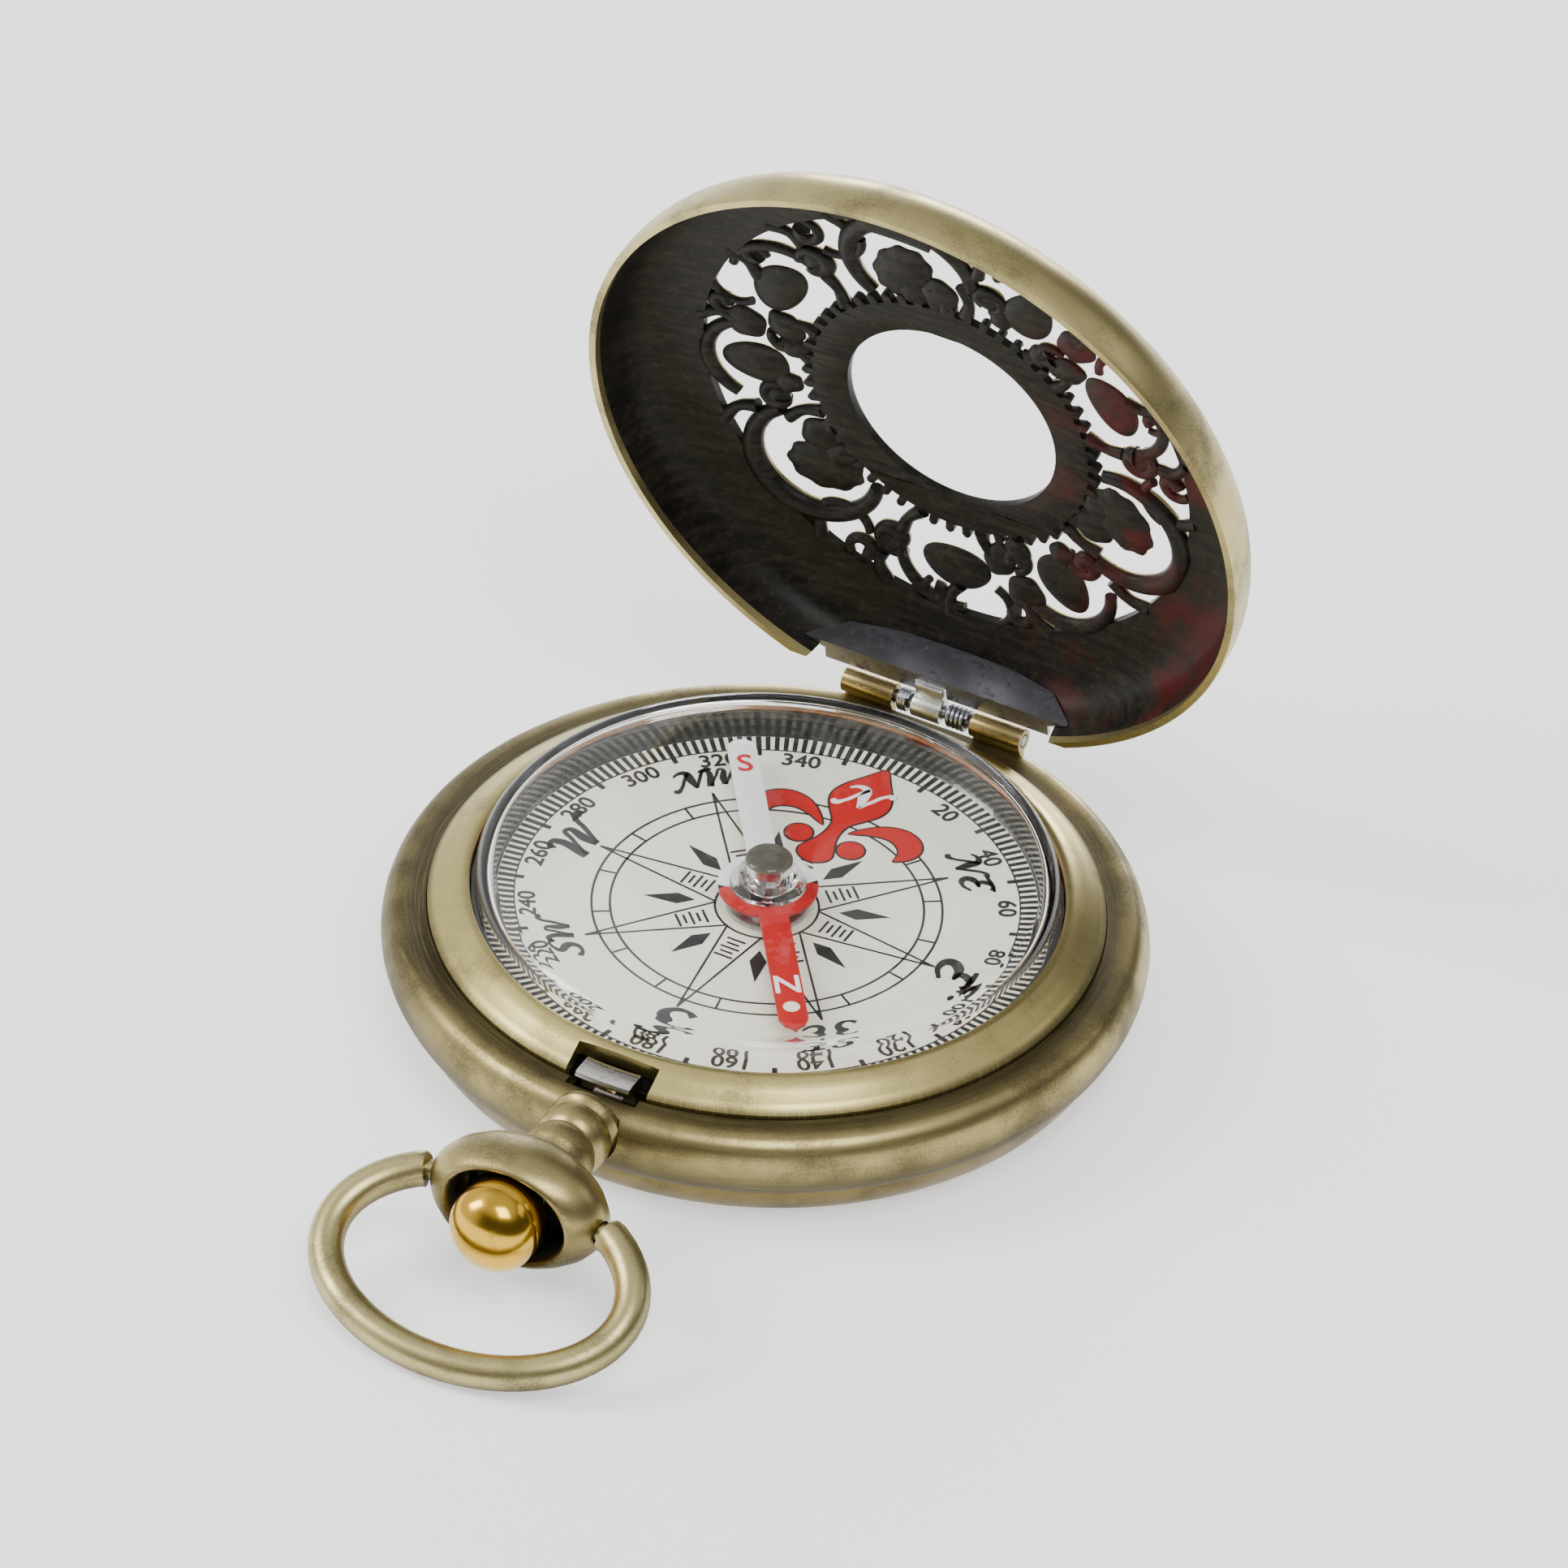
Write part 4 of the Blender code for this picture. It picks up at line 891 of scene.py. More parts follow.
def grow(outline, by):
    """The outline pushed outwards all round, whichever way it runs."""
    points = [Vector(p) for p in outline]
    area = sum(a.x * b.y - b.x * a.y for a, b in zip(points, points[1:] + points[:1]))
    grown = []
    for before, here, after in zip(points[-1:] + points[:-1], points, points[1:] + points[:1]):
        along = (after - before).normalized()
        out = Vector((along.y, -along.x)) * (1 if area > 0 else -1)
        grown.append(tuple(here + out * by))
    return grown


def rounded(outline):
    """Corner cutting, which turns a coarse outline into a flowing one."""
    points = [Vector(p) for p in outline]
    for _ in range(2):
        nearer = []
        for here, after in zip(points, points[1:] + points[:1]):
            nearer += [here * 0.75 + after * 0.25, here * 0.25 + after * 0.75]
        points = nearer
    return [tuple(p) for p in points]


def slat(inner, outer, angle, side):
    """A straight mark from one radius to another, its half width an angle."""
    near, far = [(inner, -side), (outer, -side)], [(outer, side), (inner, side)]
    return [polar(radius, angle + turn) for radius, turn in near + far]


def bearing(degree):
    """The angle from +X of a dial bearing, which runs clockwise from north."""
    return math.pi / 2 - math.radians(degree)


def degree_prints(level):
    ring_r, line = 15.2, 0.05
    ring = [circle(ring_r + line, 160), circle(ring_r - line, 160)]
    bars = []
    for degree in range(0, 360, 2):
        major = degree % 20 == 10
        side = math.asin((0.16 if major else 0.14) / ring_r)
        inner = ring_r - (0.55 if major else 0.0)
        bars.append(slat(inner, DIAL_R - 0.03, bearing(degree), side))
    prints = [flat_shape("degree_ring", ring, level), flat_shape("degree_bars", bars, level + 0.002)]
    for degree in range(20, 360, 20):
        x, y = polar(14.3, bearing(degree))
        turn = bearing(degree) - math.pi / 2
        prints.append(lettering(str(degree), 1.15, x, y, turn, level, bold=0.03))
    return prints


def rose_prints(level):
    hub_ring, inner_ring, outer_ring, line = 3.1, 9.35, 10.45, 0.075
    prints = []
    for radius in (hub_ring, inner_ring, outer_ring):
        ring = [circle(radius + line, 128), circle(radius - line, 128)]
        prints.append(flat_shape("rose_ring", ring, level))
    middles = [math.radians(22.5 * number + 11.25) for number in range(16)]
    spokes = [slat(inner_ring, outer_ring, angle, line / 10) for angle in middles]
    prints.append(flat_shape("rose_spokes", spokes, level + 0.001))
    points = []
    for number in (0, 1, 3, 4, 5, 6, 7):
        points += rose_point(math.radians(45 * number), hub_ring, 11.3, 1.15, 0.14)
    for number, outline in enumerate(points):
        prints.append(flat_shape("rose_point", [outline], level + 0.0005 * (number % 5)))
    kites = [kite(math.radians(45 * n + 22.5), 4.3, 7.4, 0.52) for n in range(8)]
    prints.append(flat_shape("rose_kites", kites, level))
    hatches = []
    for number in range(8):
        turn = Matrix.Rotation(math.radians(45 * number), 2)
        for bar in range(5):
            x = 3.75 + 0.42 * bar
            half = 0.42 if bar % 2 else 0.62
            corners = [(x, -half), (x + 0.16, -half), (x + 0.16, half), (x, half)]
            hatches.append([tuple(turn @ Vector(corner)) for corner in corners])
    prints.append(flat_shape("rose_hatches", hatches, level))
    return prints


def compass_letters(level):
    words = {45: "NE", 90: "E", 135: "SE", 180: "S", 225: "SW", 270: "W", 315: "NW"}
    prints = []
    for degree, word in words.items():
        x, y = polar(12.75, bearing(degree))
        size = 2.6 if len(word) == 1 else 1.75
        prints.append(script_word(word, size, x, y, bearing(degree) - math.pi / 2, level))
    return prints


def make_dial():
    foot = low_of("dial_plate").z
    plate = turned("dial_card", [(DIAL_R, DIAL_TOP), (DIAL_R, foot)], ring=False, sides=192, edge=0)
    finish(plate, CARD, "case", "dial_white", "dial_plate")
    level = DIAL_TOP + 0.012
    printing = join("dial_printing", degree_prints(level) + rose_prints(level) + compass_letters(level))
    finish(printing, INK, "case", "dial_white")
    fleur = fleur_outlines()
    border = [flat_shape("fleur_edge", [rounded(grow(outline, 0.13))], level + 0.004) for outline in fleur]
    finish(join("fleur_outline", border), INK, "case", "dial_white")
    petals = [flat_shape("petal", [rounded(outline)], level + 0.012) for outline in fleur]
    finish(join("fleur_red", petals), RED_INK, "case", "dial_white")
    letter = script_word("N", 2.1, 0, 12.1, 0, level + 0.024)
    finish(letter, WHITE_INK, "case", "dial_white")
    letter.name = "fleur_letter"


# Needle


def needle_half(name, sign, nib):
    """One arm with its crescent of the hub. It is drawn along +Y and turned for the other arm."""
    half = NEEDLE_HALF_W
    root = math.degrees(math.asin(half / NEEDLE_HUB_R))
    wing_end = 4
    if nib:
        nib_drops = [(half, 1.25), (0.62, 0.62), (0.24, 0.36), (0, 0)]
        end = [(x, NEEDLE_LENGTH - drop) for x, drop in nib_drops]
        end += [(-x, y) for x, y in reversed(end[:-1])]
    else:
        end = arc(half, 0, 180, 13, (0, NEEDLE_LENGTH - half))
    left = arc(NEEDLE_HUB_R, 90 + root, 180 + wing_end, 18)
    inner = arc(1.85, 180 + wing_end + 6, 360 - wing_end - 6, 24)
    inner = [(x, -y) for x, y in inner]
    right = arc(NEEDLE_HUB_R, -wing_end, 90 - root, 18)
    outline = end + left + inner + right
    thick = NEEDLE_TOP - NEEDLE_Z
    obj = flat_shape(name, [outline], (NEEDLE_Z + NEEDLE_TOP) / 2, thick)
    soften(obj, 0.05, 2, 40)
    turn = -NEEDLE_BEARING + (0 if sign > 0 else math.pi)
    return smooth(move_by(obj, Matrix.Rotation(turn, 4, "Z")), 30)


def make_needle():
    turn = Matrix.Rotation(-NEEDLE_BEARING, 4, "Z")
    finish(needle_half("needle_north", 1, True), NEEDLE_RED, "needle", "needle_red", "needle_blade")
    south = needle_half("needle_south", -1, False)
    finish(south, NEEDLE_WHITE, "needle", "needle_red")
    hub = turned("needle_hub", tube(1.9, 1.25, NEEDLE_Z + 0.02, NEEDLE_TOP - 0.02), sides=64, edge=0)
    finish(hub, NEEDLE_RED, "needle", "needle_red")
    south_way = Vector((-math.sin(NEEDLE_BEARING), -math.cos(NEEDLE_BEARING), 0))
    paint_faces(hub, NEEDLE_WHITE, lambda p, n: p.dot(south_way) > 0)
    level = NEEDLE_TOP + 0.008
    letter = lettering("N", 1.65, 0, 9.5, 0, level, bold=0.02)
    finish(move_by(letter, turn), WHITE_INK, "needle", "needle_red").name = "needle_letter_north"
    letter = lettering("S", 1.6, 0, -11.7, math.pi, level, bold=0.02)
    finish(move_by(letter, turn), RED_INK, "needle", "needle_red").name = "needle_letter_south"
    dot = flat_shape("needle_dot", [circle(0.50, 36, (0, 11.75))], level)
    finish(move_by(dot, turn), LUMINOUS, "needle", "needle_red")
    rim = flat_shape("needle_dot_rim", [circle(0.57, 36, (0, 11.75)), circle(0.50, 36, (0, 11.75))], level)
    finish(move_by(rim, turn), RED_INK, "needle", "needle_red")


def make_cap():
    low = low_of("needle_cap").z
    wide = high_of("needle_cap").x
    seat = NEEDLE_TOP + 0.06
    profile = [
        (0.4, CAP_TOP), (1.3, CAP_TOP), (1.42, CAP_TOP - 0.12), (1.42, CAP_TOP - 0.8),
        (1.75, CAP_TOP - 1.02), (1.78, seat + 0.42), (1.95, seat + 0.36), (wide - 0.05, seat + 0.24),
        (wide, seat + 0.14), (wide, seat), (1.15, seat), (1.15, low), (0.8, low), (0.8, CAP_TOP - 0.5),
        (0.2, CAP_TOP - 0.45),
    ]
    cap = turned("needle_cap_clear", profile, ring=False, sides=72, edge=0.02)
    finish(cap, CAP_GLASS, "needle", "crystal", "needle_cap")
    disc = turned("cap_disc", tube(1.36, 0.3, CAP_TOP - 0.3, CAP_TOP - 0.14), sides=64, edge=0.02)
    face = [(1.36, CAP_TOP - 0.13), (1.36, CAP_TOP - 0.2)]
    disc_top = turned("cap_disc_face", face, ring=False, sides=64, edge=0.02)
    finish(join("cap_disc", [disc, disc_top]), DISC_GREY, "needle", "steel")
    base = turned(
        "pivot_disc",
        [(2.3, DIAL_TOP + 0.36), (2.4, DIAL_TOP + 0.32), (2.45, DIAL_TOP + 0.22), (2.45, DIAL_TOP + 0.03),
         (0.4, DIAL_TOP + 0.03), (0.4, DIAL_TOP + 0.36)],
        sides=96,
        edge=0,
    )
    finish(smooth(base, 40), BASE_GREY, "case", "steel", "pivot_base")


# Lid


def dome_height(radius):
    """Height of the lid's outer face above its lip, from the window out to the shoulder."""
    if radius < PIERCED_R:
        share = (radius - WINDOW_R) / (PIERCED_R - WINDOW_R)
        return 5.85 - 0.55 * share - 0.2 * share**2
    share = (radius - PIERCED_R) / (19.2 - PIERCED_R)
    return 5.10 - 0.45 * share


def lid_rim_profile():
    """From the pierced zone's edge over the shoulder to the lip, then back up the inside."""
    outside = [(PIERCED_R + 2.8 * i / 4, dome_height(PIERCED_R + 2.8 * i / 4)) for i in range(5)]
    outside += [(19.9, 4.42), (20.5, 4.05), (20.98, 3.55), (21.35, 2.95), (21.6, 2.3), (21.74, 1.6)]
    outside += [(21.8, 0.9), (LID_R, 0.35), (LID_R - 0.06, 0.0)]
    inside = [(LID_R - LID_SHEET + 0.04, 0.0), (21.27, 0.5), (21.22, 1.3), (21.05, 2.2), (20.8, 2.85)]
    inside += [(20.4, 3.4), (19.8, 3.8), (19.0, 4.08), (18.0, 4.3), (17.2, 4.45), (PIERCED_R, 4.55)]
    return [(r, LIP_Z + h) for r, h in outside + inside]


def gear_ring():
    """The window's rim: a flat ring with round teeth outside, to be bent to the dome afterwards."""
    outline = []
    pitch = math.tau / GEAR_TEETH
    half_tooth = [(0, -1), (0.55, -0.95), (0.75, -0.35)]
    tooth = half_tooth + [(rise, -side) for rise, side in reversed(half_tooth)]
    for number in range(GEAR_TEETH):
        outline += [polar(GEAR_R + rise, pitch * (number + 0.26 * side)) for rise, side in tooth]
        outline.append(polar(GEAR_R, pitch * (number + 0.5)))
    ring = flat_shape("gear_ring", [outline, circle(WINDOW_R + 0.02, 128)], 0, LID_SHEET)
    return soften(ring, 0.07, 2, 40)


def on_dome(point):
    """Lays a flat point on the shut lid's dome, its own height measured from the sheet's middle."""
    radius = max(math.hypot(point.x, point.y), WINDOW_R)
    return point.x, point.y, LIP_Z + dome_height(radius) - LID_SHEET / 2 + point.z


def leaf(name, radius, angle, long_half, short_half, lean, lobes):
    """A plump oval ornament with a softly lobed edge, centred on the pierced zone."""
    settle()
    bpy.ops.mesh.primitive_uv_sphere_add(segments=40, ring_count=14, radius=MM)
    obj = named(name)
    swell, height = 0.045, 0.42

    def shape(p):
        spin = math.atan2(p.y, p.x)
        edge = 1 + swell * math.cos(lobes * spin)
        return p.x * long_half * edge, p.y * short_half * edge, p.z * height

    reshape(obj, shape)
    x, y = polar(radius, angle)
    return move_by(obj, Matrix.Translation((x * MM, y * MM, 0)) @ Matrix.Rotation(angle + lean, 4, "Z"))


def around(centre_r, centre_angle, radius, start, end, first, last, count=10, swell=0.0):
    """A bar bent on an arc about a place in the pierced zone, its angles in degrees from its radial."""
    cx, cy = polar(centre_r, centre_angle)
    line = []
    for i in range(count):
        share = i / (count - 1)
        angle = centre_angle + math.radians(start + (end - start) * share)
        half = first + (last - first) * share + swell * math.sin(math.pi * share)
        x, y = polar(radius, angle)
        line.append((cx + x, cy + y, 0, half))
    return line


def curl(centre_r, centre_angle, size, start, turns, half):
    """A bar that winds inwards to a bead."""
    cx, cy = polar(centre_r, centre_angle)
    line = []
    count = 11
    for i in range(count):
        share = i / (count - 1)
        angle = centre_angle + math.radians(start + 360 * turns * share)
        radius = size * (1 - 0.72 * share)
        x, y = polar(radius, angle)
        line.append((cx + x, cy + y, 0, half * (0.75 + 0.7 * share)))
    return line


def motif(angle):
    """One third of the openwork: its bars as lines and its ovals as (radius, angle, half sizes, lean)."""

    def at(degrees):
        return angle + math.radians(degrees)

    bars = [
        around(12.3, at(0), 4.15, -128, 98, 0.40, 0.42, 16, 0.22),
        around(13.0, at(36), 3.35, -62, 92, 0.34, 0.30, 12, 0.12),
        around(12.9, at(72), 3.3, -20, 96, 0.26, 0.30, 10, 0.08),
        curl(12.3, at(24), 1.15, 160, -0.9, 0.36),
        curl(15.5, at(54), 0.95, 200, 0.9, 0.30),
        curl(15.5, at(75), 0.85, 140, -0.9, 0.30),
        curl(15.4, at(94), 1.05, 30, 0.85, 0.34),
        curl(11.3, at(49), 0.95, 20, -0.8, 0.34),
        curl(13.0, at(89), 1.25, -60, 0.9, 0.40),
        around(15.2, at(62), 1.6, -150, 20, 0.26, 0.24, 8),
        around(15.0, at(101), 1.9, 110, 230, 0.28, 0.28, 8),
    ]
    stems = [(9.6, 12.2, 18, 16), (9.6, 11.6, 44, 47), (9.6, 12.0, 84, 88), (14.0, 16.7, 20, 17),
             (14.4, 16.8, 50, 47), (14.3, 16.8, 69, 71), (14.6, 16.8, 90, 86), (9.5, 11.4, 60, 56),
             (14.2, 16.8, 106, 103), (9.4, 11.2, 10, 6)]
    for inner, outer, start, end in stems:
        near = polar(inner, at(start))
        far = polar(outer, at(end))
        middle = polar((inner + outer) / 2, at((start + end) / 2 + 1.5))
        bars.append([(*near, 0, 0.42), (*middle, 0, 0.32), (*far, 0, 0.40)])
    ovals = [
        (12.0, at(-3), 2.35, 1.75, math.radians(40), 9),
        (10.6, at(8), 1.35, 1.2, 0, 5),
        (10.4, at(-2), 1.1, 1.0, 0, 5),
        (13.1, at(36), 2.05, 1.5, 0, 3),
        (13.9, at(50), 1.3, 1.2, 0, 5),
        (11.4, at(55), 1.3, 1.0, 0.6, 5),
        (12.9, at(70), 1.5, 2.15, 0, 3),
        (13.0, at(89), 0.95, 0.85, 0, 3),
        (10.6, at(47), 1.0, 0.8, 0, 5),
        (12.2, at(24), 0.75, 0.75, 0, 3),
        (11.2, at(30), 0.9, 0.75, 0, 5),
    ]
    return bars, ovals


def make_openwork():
    bars, pieces = [], []
    for turn in range(MOTIFS):
        some_bars, some_ovals = motif(FIRST_MOTIF - turn * math.tau / MOTIFS)
        bars += [[(x, y, z, half * 1.2) for x, y, z, half in bar] for bar in some_bars]
        for radius, angle, long_half, short_half, lean, lobes in some_ovals:
            pieces.append(leaf("oval", radius, angle, long_half * 1.08, short_half * 1.08, lean, lobes))
    wires = strokes("scroll_bars", bars, sides=4)
    reshape(wires, lambda p: (p.x, p.y, p.z * 0.85))
    whole = join("openwork", [wires, *pieces])
    outer = PIERCED_R + 0.5

    def lay(p):
        radius = math.hypot(p.x, p.y)
        pull = min(1.0, outer / max(radius, 0.001))
        return on_dome(Vector((p.x * pull, p.y * pull, p.z)))

    reshape(whole, lay)
    ring = gear_ring()
    reshape(ring, on_dome)
    whole = join("lid_openwork", [whole, smooth(ring, 40)])
    swing_open(whole)
    finish(whole, OPENWORK_BRASS, "lid", "antique_brass")
    outward = Matrix.Rotation(-LID_OPEN, 3, "X") @ Vector((0, 0, 1))
    paint_faces(whole, LACQUER, lambda p, n: n.dot(outward) < 0.12)


def make_lid():
    shell = turned("lid_rim", lid_rim_profile(), sides=192, edge=0)
    face_outwards(shell)
    cut(shell, block("lid_chord", (-LID_R, CHORD_Y, 0), (LID_R, LID_R + 2, LID_R)))
    catch = turned(
        "catch_bead",
        [(20.45, LIP_Z + 0.06), (20.45, LIP_Z + 0.3), (21.5, LIP_Z + 0.33), (21.5, LIP_Z + 0.03)],
        sides=192,
        edge=0.03,
    )
    cut(catch, block("catch_zone", (-2.4, -LID_R, 0), (2.4, 0, LID_R)), "INTERSECT")
    smooth(shell, 34)
    swing_open(shell)
    finish(shell, LID_BRASS, "lid", "antique_brass", "lid_shell")
    finish(swing_open(smooth(catch)), LACQUER, "lid", "antique_brass")
    closing = Matrix.Rotation(LID_OPEN, 3, "X")

    def inner_side(p, n):
        shut = closing @ (p - HINGE) + HINGE
        facing = closing @ n
        radius = math.hypot(shut.x, shut.y)
        lift = shut.z - LIP_Z
        outwards = (facing.x * shut.x + facing.y * shut.y) / max(radius, 0.001)
        return lift > 0.28 and (outwards < -0.2 or facing.z < -0.3) and radius > PIERCED_R - 0.3

    paint_faces(shell, LACQUER, inner_side)
    make_openwork()


# Hinge


def make_hinge():
    flat_y = high_of("mid_case").y + 0.02
    radius, bore = 0.78, 0.42
    for side, node in ((-1, "case_knuckle_left"), (1, "case_knuckle_right")):
        start, end = sorted((side * 2.65, side * 6.1))
        obj = along_x(turned("barrel", tube(radius, bore, start, end), sides=48, edge=0.08))
        foot = block("foot", (start + 0.1, flat_y, MID + 1.25), (end - 0.1, HINGE.y + 0.35, HINGE.z - 0.35))
        soften(foot, 0.08, 2)
        obj = smooth(join(node.replace("case_knuckle", "case_barrel"), [obj, smooth(foot)]))
        finish(obj, BARREL_BRASS, "case", "bright_brass", node)
    start, end = low_of("lid_knuckle").x, high_of("lid_knuckle").x
    knuckle = along_x(turned("knuckle", tube(radius, bore, start, end), sides=48, edge=0.08))
    arm_low = (start + 0.05, CHORD_Y + 0.08, LIP_Z + 0.87)
    arm = block("arm", arm_low, (end - 0.05, HINGE.y - 0.2, LIP_Z + 1.37))
    soften(arm, 0.08, 2)
    knuckle = join("lid_barrel", [knuckle, smooth(arm)])
    finish(swing_open(smooth(knuckle)), KNUCKLE_STEEL, "lid", "steel", "lid_knuckle")
    pin = along_x(turned("pin", [(0.36, 6.1), (0.36, -6.1)], ring=False, sides=32, edge=0.05))
    finish(pin, SPRING_STEEL, "case", "steel", "hinge_pin").name = "hinge_axle"
    for node, count in (("lid_spring_left", 3.6), ("lid_spring_right", 4.6)):
        low, high = low_of(node), high_of(node)
        steps = int(count * 12)
        line = []
        for i in range(steps + 1):
            share = i / steps
            angle = math.radians(-80) + math.tau * count * share
            x = low.x + 0.16 + (high.x - low.x - 0.32) * share
            line.append((x, HINGE.y + 0.6 * math.cos(angle), HINGE.z + 0.6 * math.sin(angle), 0.14))
        obj = strokes(node.replace("lid_spring", "lid_coil"), [line], sides=2, resolution=2)
        finish(obj, SPRING_STEEL, "case", "steel", node)


# Latch


def make_latch():
    nose_low, nose_high = LIP_Z + 0.42, high_of("latch_hook").z
    back = -high_of("latch_hook").y
    tip = -low_of("latch_hook").y
    profile = [
        (back, nose_high - 0.12), (back + 0.12, nose_high), (tip - 0.45, nose_high - 0.01),
        (tip - 0.12, nose_high - 0.08), (tip, nose_low + 0.12), (tip - 0.05, nose_low),
        (back + 0.8, nose_low), (back + 0.8, MID + 1.2), (back, MID + 1.2),
    ]
    hook = turned("latch_blade", profile, sides=256, edge=0.03)
    zone = block("latch_zone", (-1.8, -tip - 1, 0), (1.8, 0, CASE_R))
    cut(hook, zone, "INTERSECT")
    tail = block("latch_tail", (-0.95, -19.95, PENDANT_Z - 0.33), (0.95, -back - 0.02, MID + 1.25))
    hook = join("latch_nose", [hook, tail])
    finish(smooth(hook, 40), HOOK_STEEL, "latch", "steel", "latch_hook")


# Pendant, button and bow


def make_neck():
    waist = NECK_R - 0.42
    profile = [(waist, NECK_END)]
    for centre in (NECK_START + 3.75, NECK_START + 1.75):
        for degrees in range(15, 166, 25):
            rise, swell = polar(1, math.radians(degrees))
            profile.append((waist + (NECK_R - waist) * swell, centre + 0.97 * rise))
    foot_r = NECK_R - 0.02
    profile += [(waist + 0.2, NECK_START + 0.55), (foot_r, NECK_START + 0.35), (foot_r, NECK_START)]
    profile += [(0.56, NECK_START), (0.56, NECK_END)]
    neck = turned("neck_beads", profile, sides=96, edge=0)
    finish(smooth(along_minus_y(neck), 50), NECK_BRASS, "case", "antique_brass", "pendant_neck")


def make_cup():
    w, h = CUP_HALF_W, CUP_HALF_H
    swell = [(0.5, 0.62, 0.2), (0.68, 0.76, 0.55), (0.84, 0.89, 1.2), (0.94, 0.96, 1.9)]
    lip = [(0.985, 0.99, 2.3), (0.985, 1, 1.75), (0.96, 0.99, 1.2), (0.88, 0.955, 0.6), (0.8, 0.91, 0.2),
           (0.755, 0.875, 0.04), (0.73, 0.855, 0), (0.7, 0.83, 0.03), (0.68, 0.8, 0.15), (0.665, 0.79, 0.5),
           (0.61, 0.715, 3.2)]
    profile = [(1.9, 1.9, CUP_BACK)]
    profile += [(w * wide, h * tall, CUP_BACK + rise) for wide, tall, rise in swell]
    profile += [(w * wide, h * tall, CUP_FRONT - drop) for wide, tall, drop in lip]
    profile += [(0.6, 0.6, CUP_FRONT - 3.35), (0.6, 0.6, CUP_BACK)]
    cup = turned("cup_shell", profile, sides=128, edge=0)
    cup = along_minus_y(cup)
    holes = turned("bow_holes", [(0.75, -w - 1), (0.75, w + 1)], ring=False, sides=32, edge=0)
    holes = move_by(holes, Matrix.Translation(BOW_HINGE * MM) @ Matrix.Rotation(math.pi / 2, 4, "Y"))
    cut(cup, holes)
    finish(smooth(cup, 40), CUP_BRASS, "case", "antique_brass", "pendant_cup")
    front = -(CUP_FRONT - 0.42)

    # Painted shade: the inside of the cup's mouth takes the black finish where its shadow lies.
    def in_mouth(p, n):
        across = math.hypot(p.x / (w * 0.68), (p.z - PENDANT_Z) / (h * 0.81))
        return front < p.y < -(CUP_BACK + 1.5) and across < 1 and n.y < 0.9

    paint_faces(cup, BLACK, in_mouth)


def make_button():
    dome_start = BUTTON_BACK + 2.0
    dome = [(0.18, BUTTON_FRONT)]
    for degrees in range(10, 91, 8):
        angle = math.radians(degrees)
        height = dome_start + (BUTTON_FRONT - dome_start) * math.cos(angle)
        dome.append((BUTTON_R * math.sin(angle) ** 0.92, height))
    groove = [(0, 0.25), (0.05, 0.32), (0.02, 0.4)]
    profile = dome + [(BUTTON_R - depth, dome_start - drop) for depth, drop in groove]
    profile += [(BUTTON_R, BUTTON_BACK + 0.2), (BUTTON_R - 0.2, BUTTON_BACK)]
    button = turned("button_dome", profile, ring=False, sides=96, edge=0)
    finish(smooth(along_minus_y(button), 40), GOLD, "button", "bright_brass", "push_button")
    coil = []
    count = 4
    low, high = -high_of("button_spring").y, -low_of("button_spring").y
    for i in range(count * 12 + 1):
        angle = math.tau * i / 12
        coil.append((1.3 * math.cos(angle), -(low + 0.17 + (high - low - 0.34) * i / (count * 12)),
                     PENDANT_Z + 1.3 * math.sin(angle), 0.16))
    travel = joint_named("button_push")["range_m"][1] / MM
    spring = strokes("button_coil", [coil], sides=2, resolution=2)
    finish(spring, SPRING_STEEL, "case", "steel", "button_spring")
    1 - travel / (high - low)
    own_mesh(spring)


def make_bow():
    box_low, box_high = low_of("bow"), high_of("bow")
    radius = 1.08
    half_w = box_high.x - radius
    reach = math.hypot(-box_low.y + BOW_HINGE.y - radius, BOW_HINGE.z - box_low.z - radius)
    half_l = 6.43
    centre = reach - half_l
    droop = math.asin((BOW_HINGE.z - box_low.z - radius) / reach)
    start = math.asin((CUP_HALF_W + 0.65) / half_w)
    count = 48
    line = []
    for i in range(count + 1):
        angle = start + (math.tau - 2 * start) * i / count
        line.append((half_w * math.sin(angle), -(centre - half_l * math.cos(angle)), 0, radius))
    end = CUP_HALF_W + 0.12
    lead = [(CUP_HALF_W * 0.75, 0, 0, 0.62), (end, 0, 0, 0.62), (end + 0.01, 0, 0, radius - 0.2)]
    lead.append((end + 0.12, -0.04, 0, radius))
    tail = [(-x, y, z, half) for x, y, z, half in reversed(lead)]
    bow = poly_wire("bow_loop", lead + line + tail, 8)
    move_by(bow, Matrix.Translation(BOW_HINGE * MM) @ Matrix.Rotation(droop, 4, "X"))
    finish(smooth(bow, 50), BOW_BRASS, "bow", "antique_brass", "bow")


# Stage


def area_light(name, place, target, size, power, colour=(1, 1, 1)):
    light = bpy.data.lights.new(name, "AREA")
    light.shape = "RECTANGLE"
    light.size, light.size_y = size
    light.energy = power
    light.color = colour
    lamp = bpy.data.objects.new(name, light)
    bpy.context.collection.objects.link(lamp)
    lamp.location = place
    lamp.rotation_euler = (Vector(target) - Vector(place)).to_track_quat("-Z", "Y").to_euler()
    return lamp


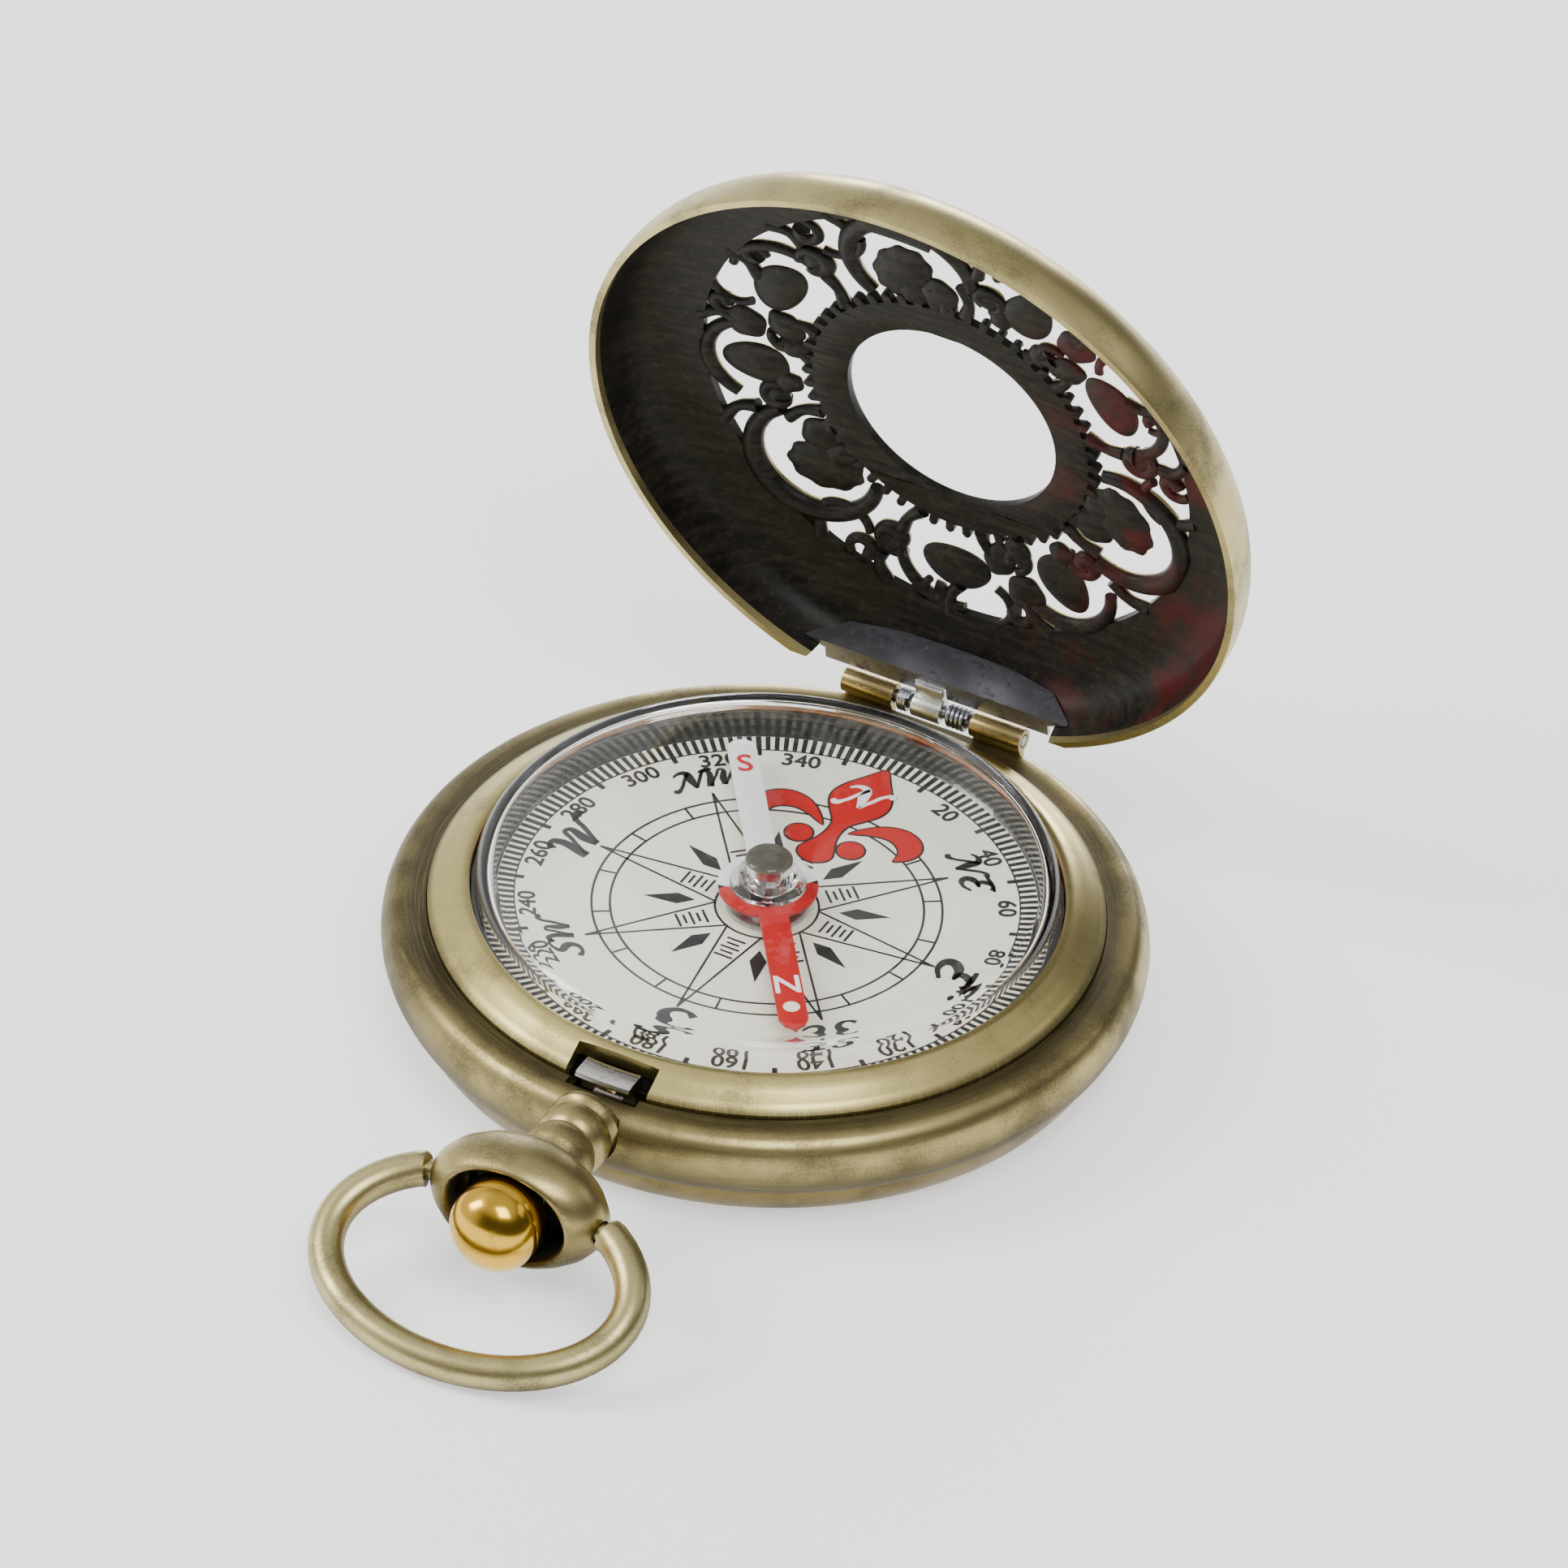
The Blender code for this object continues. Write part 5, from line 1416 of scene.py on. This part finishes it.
def make_stage():
    settle()
    bpy.ops.mesh.primitive_plane_add(size=6, location=(0, 0, -0.00002))
    floor = named("floor")
    bake_place(floor)
    paint = Paint("floor_paper", Roughness=0.6)
    x, y, z = paint.place()
    paper = paint.noise(paint.vector(x, y, z), 0.03, 2.0)
    paint.shader.inputs["Emission Strength"].default_value = 0.9
    tone = paint.mix(paper, (0.90, 0.90, 0.90), (0.93, 0.93, 0.93))
    paint.drive(Base_Color=tone, Emission_Color=tone)
    floor.data.materials.append(paint.material)
    world = bpy.data.worlds.new("studio")
    world.use_nodes = True
    nodes, links = world.node_tree.nodes, world.node_tree.links
    coords = nodes.new("ShaderNodeTexCoord")
    split = nodes.new("ShaderNodeSeparateXYZ")
    links.new(coords.outputs["Generated"], split.inputs[0])
    strength = nodes.new("ShaderNodeMath")
    rises = ("Z", 0.5, 0.88, 0.1, 0.8), ("X", -0.25, -0.8, 0.0, 0.95)
    for number, (axis, low, high, dark, light) in enumerate(rises):
        rise = nodes.new("ShaderNodeMapRange")
        rise.interpolation_type = "SMOOTHSTEP"
        for socket, value in zip(rise.inputs[1:5], (low, high, dark, light)):
            socket.default_value = value
        links.new(split.outputs[axis], rise.inputs[0])
        links.new(rise.outputs[0], strength.inputs[number])
    links.new(strength.outputs[0], nodes["Background"].inputs["Strength"])
    nodes["Background"].inputs["Color"].default_value = (1, 1, 1, 1)
    bpy.context.scene.world = world
    middle = (0, 0, 0.01)
    area_light("key", (-0.75, -0.35, 0.65), middle, (0.35, 0.5), 6.0)
    area_light("top", (0.35, -0.35, 0.9), middle, (0.5, 0.5), 6.0)
    area_light("crown", (-0.3, 0.9, 0.14), middle, (0.5, 0.16), 4.5)
    area_light("back", (0.7, 0.6, 0.6), middle, (0.5, 0.25), 0.5)


def make_camera():
    """A long lens over the pendant side, a little to the right of it and tilted by a few degrees."""
    azimuth, elevation, roll = math.radians(26.5), math.radians(38.0), math.radians(2.8)
    distance = 50.7 * CASE_R * MM
    right = Vector((math.cos(azimuth), math.sin(azimuth), 0))
    level = Vector((right.y, -right.x, 0))
    back = level * math.cos(elevation) + Vector((0, 0, math.sin(elevation)))
    up = back.cross(right)
    right, up = right * math.cos(roll) + up * math.sin(roll), up * math.cos(roll) - right * math.sin(roll)
    middle = Vector((0, 0, MID * MM))
    place = middle + back * distance
    target = middle + right * (1.1 * MM) + up * (8.98 * MM)
    z_axis = (place - target).normalized()
    x_axis = up.cross(z_axis).normalized()
    y_axis = z_axis.cross(x_axis)
    data = bpy.data.cameras.new("camera")
    data.sensor_width = 36
    data.lens = 448
    data.clip_start = 0.05
    camera = bpy.data.objects.new("camera", data)
    bpy.context.collection.objects.link(camera)
    camera.matrix_world = Matrix.Translation(place) @ Matrix((x_axis, y_axis, z_axis)).transposed().to_4x4()
    bpy.context.scene.camera = camera


make_band()
make_back()
make_bezel()
make_crystal()
make_dial()
make_needle()
make_cap()
make_lid()
make_hinge()
make_latch()
make_neck()
make_cup()
make_button()
make_bow()
REPAINTED = {
    "crystal_gasket": BLACK,
    "capsule_tray": BLACK,
    "pivot_pin": SPRING_STEEL,
    "bearing_jewel": RUBY,
    "lid_flange": FLANGE_STEEL,
    "latch_spring": SPRING_STEEL,
    "latch_screw": SPRING_STEEL,
    "push_rod": BARREL_BRASS,
}
for kept_node, kept_finish in REPAINTED.items():
    repaint(kept_node, kept_finish)
make_stage()
make_camera()
settle()
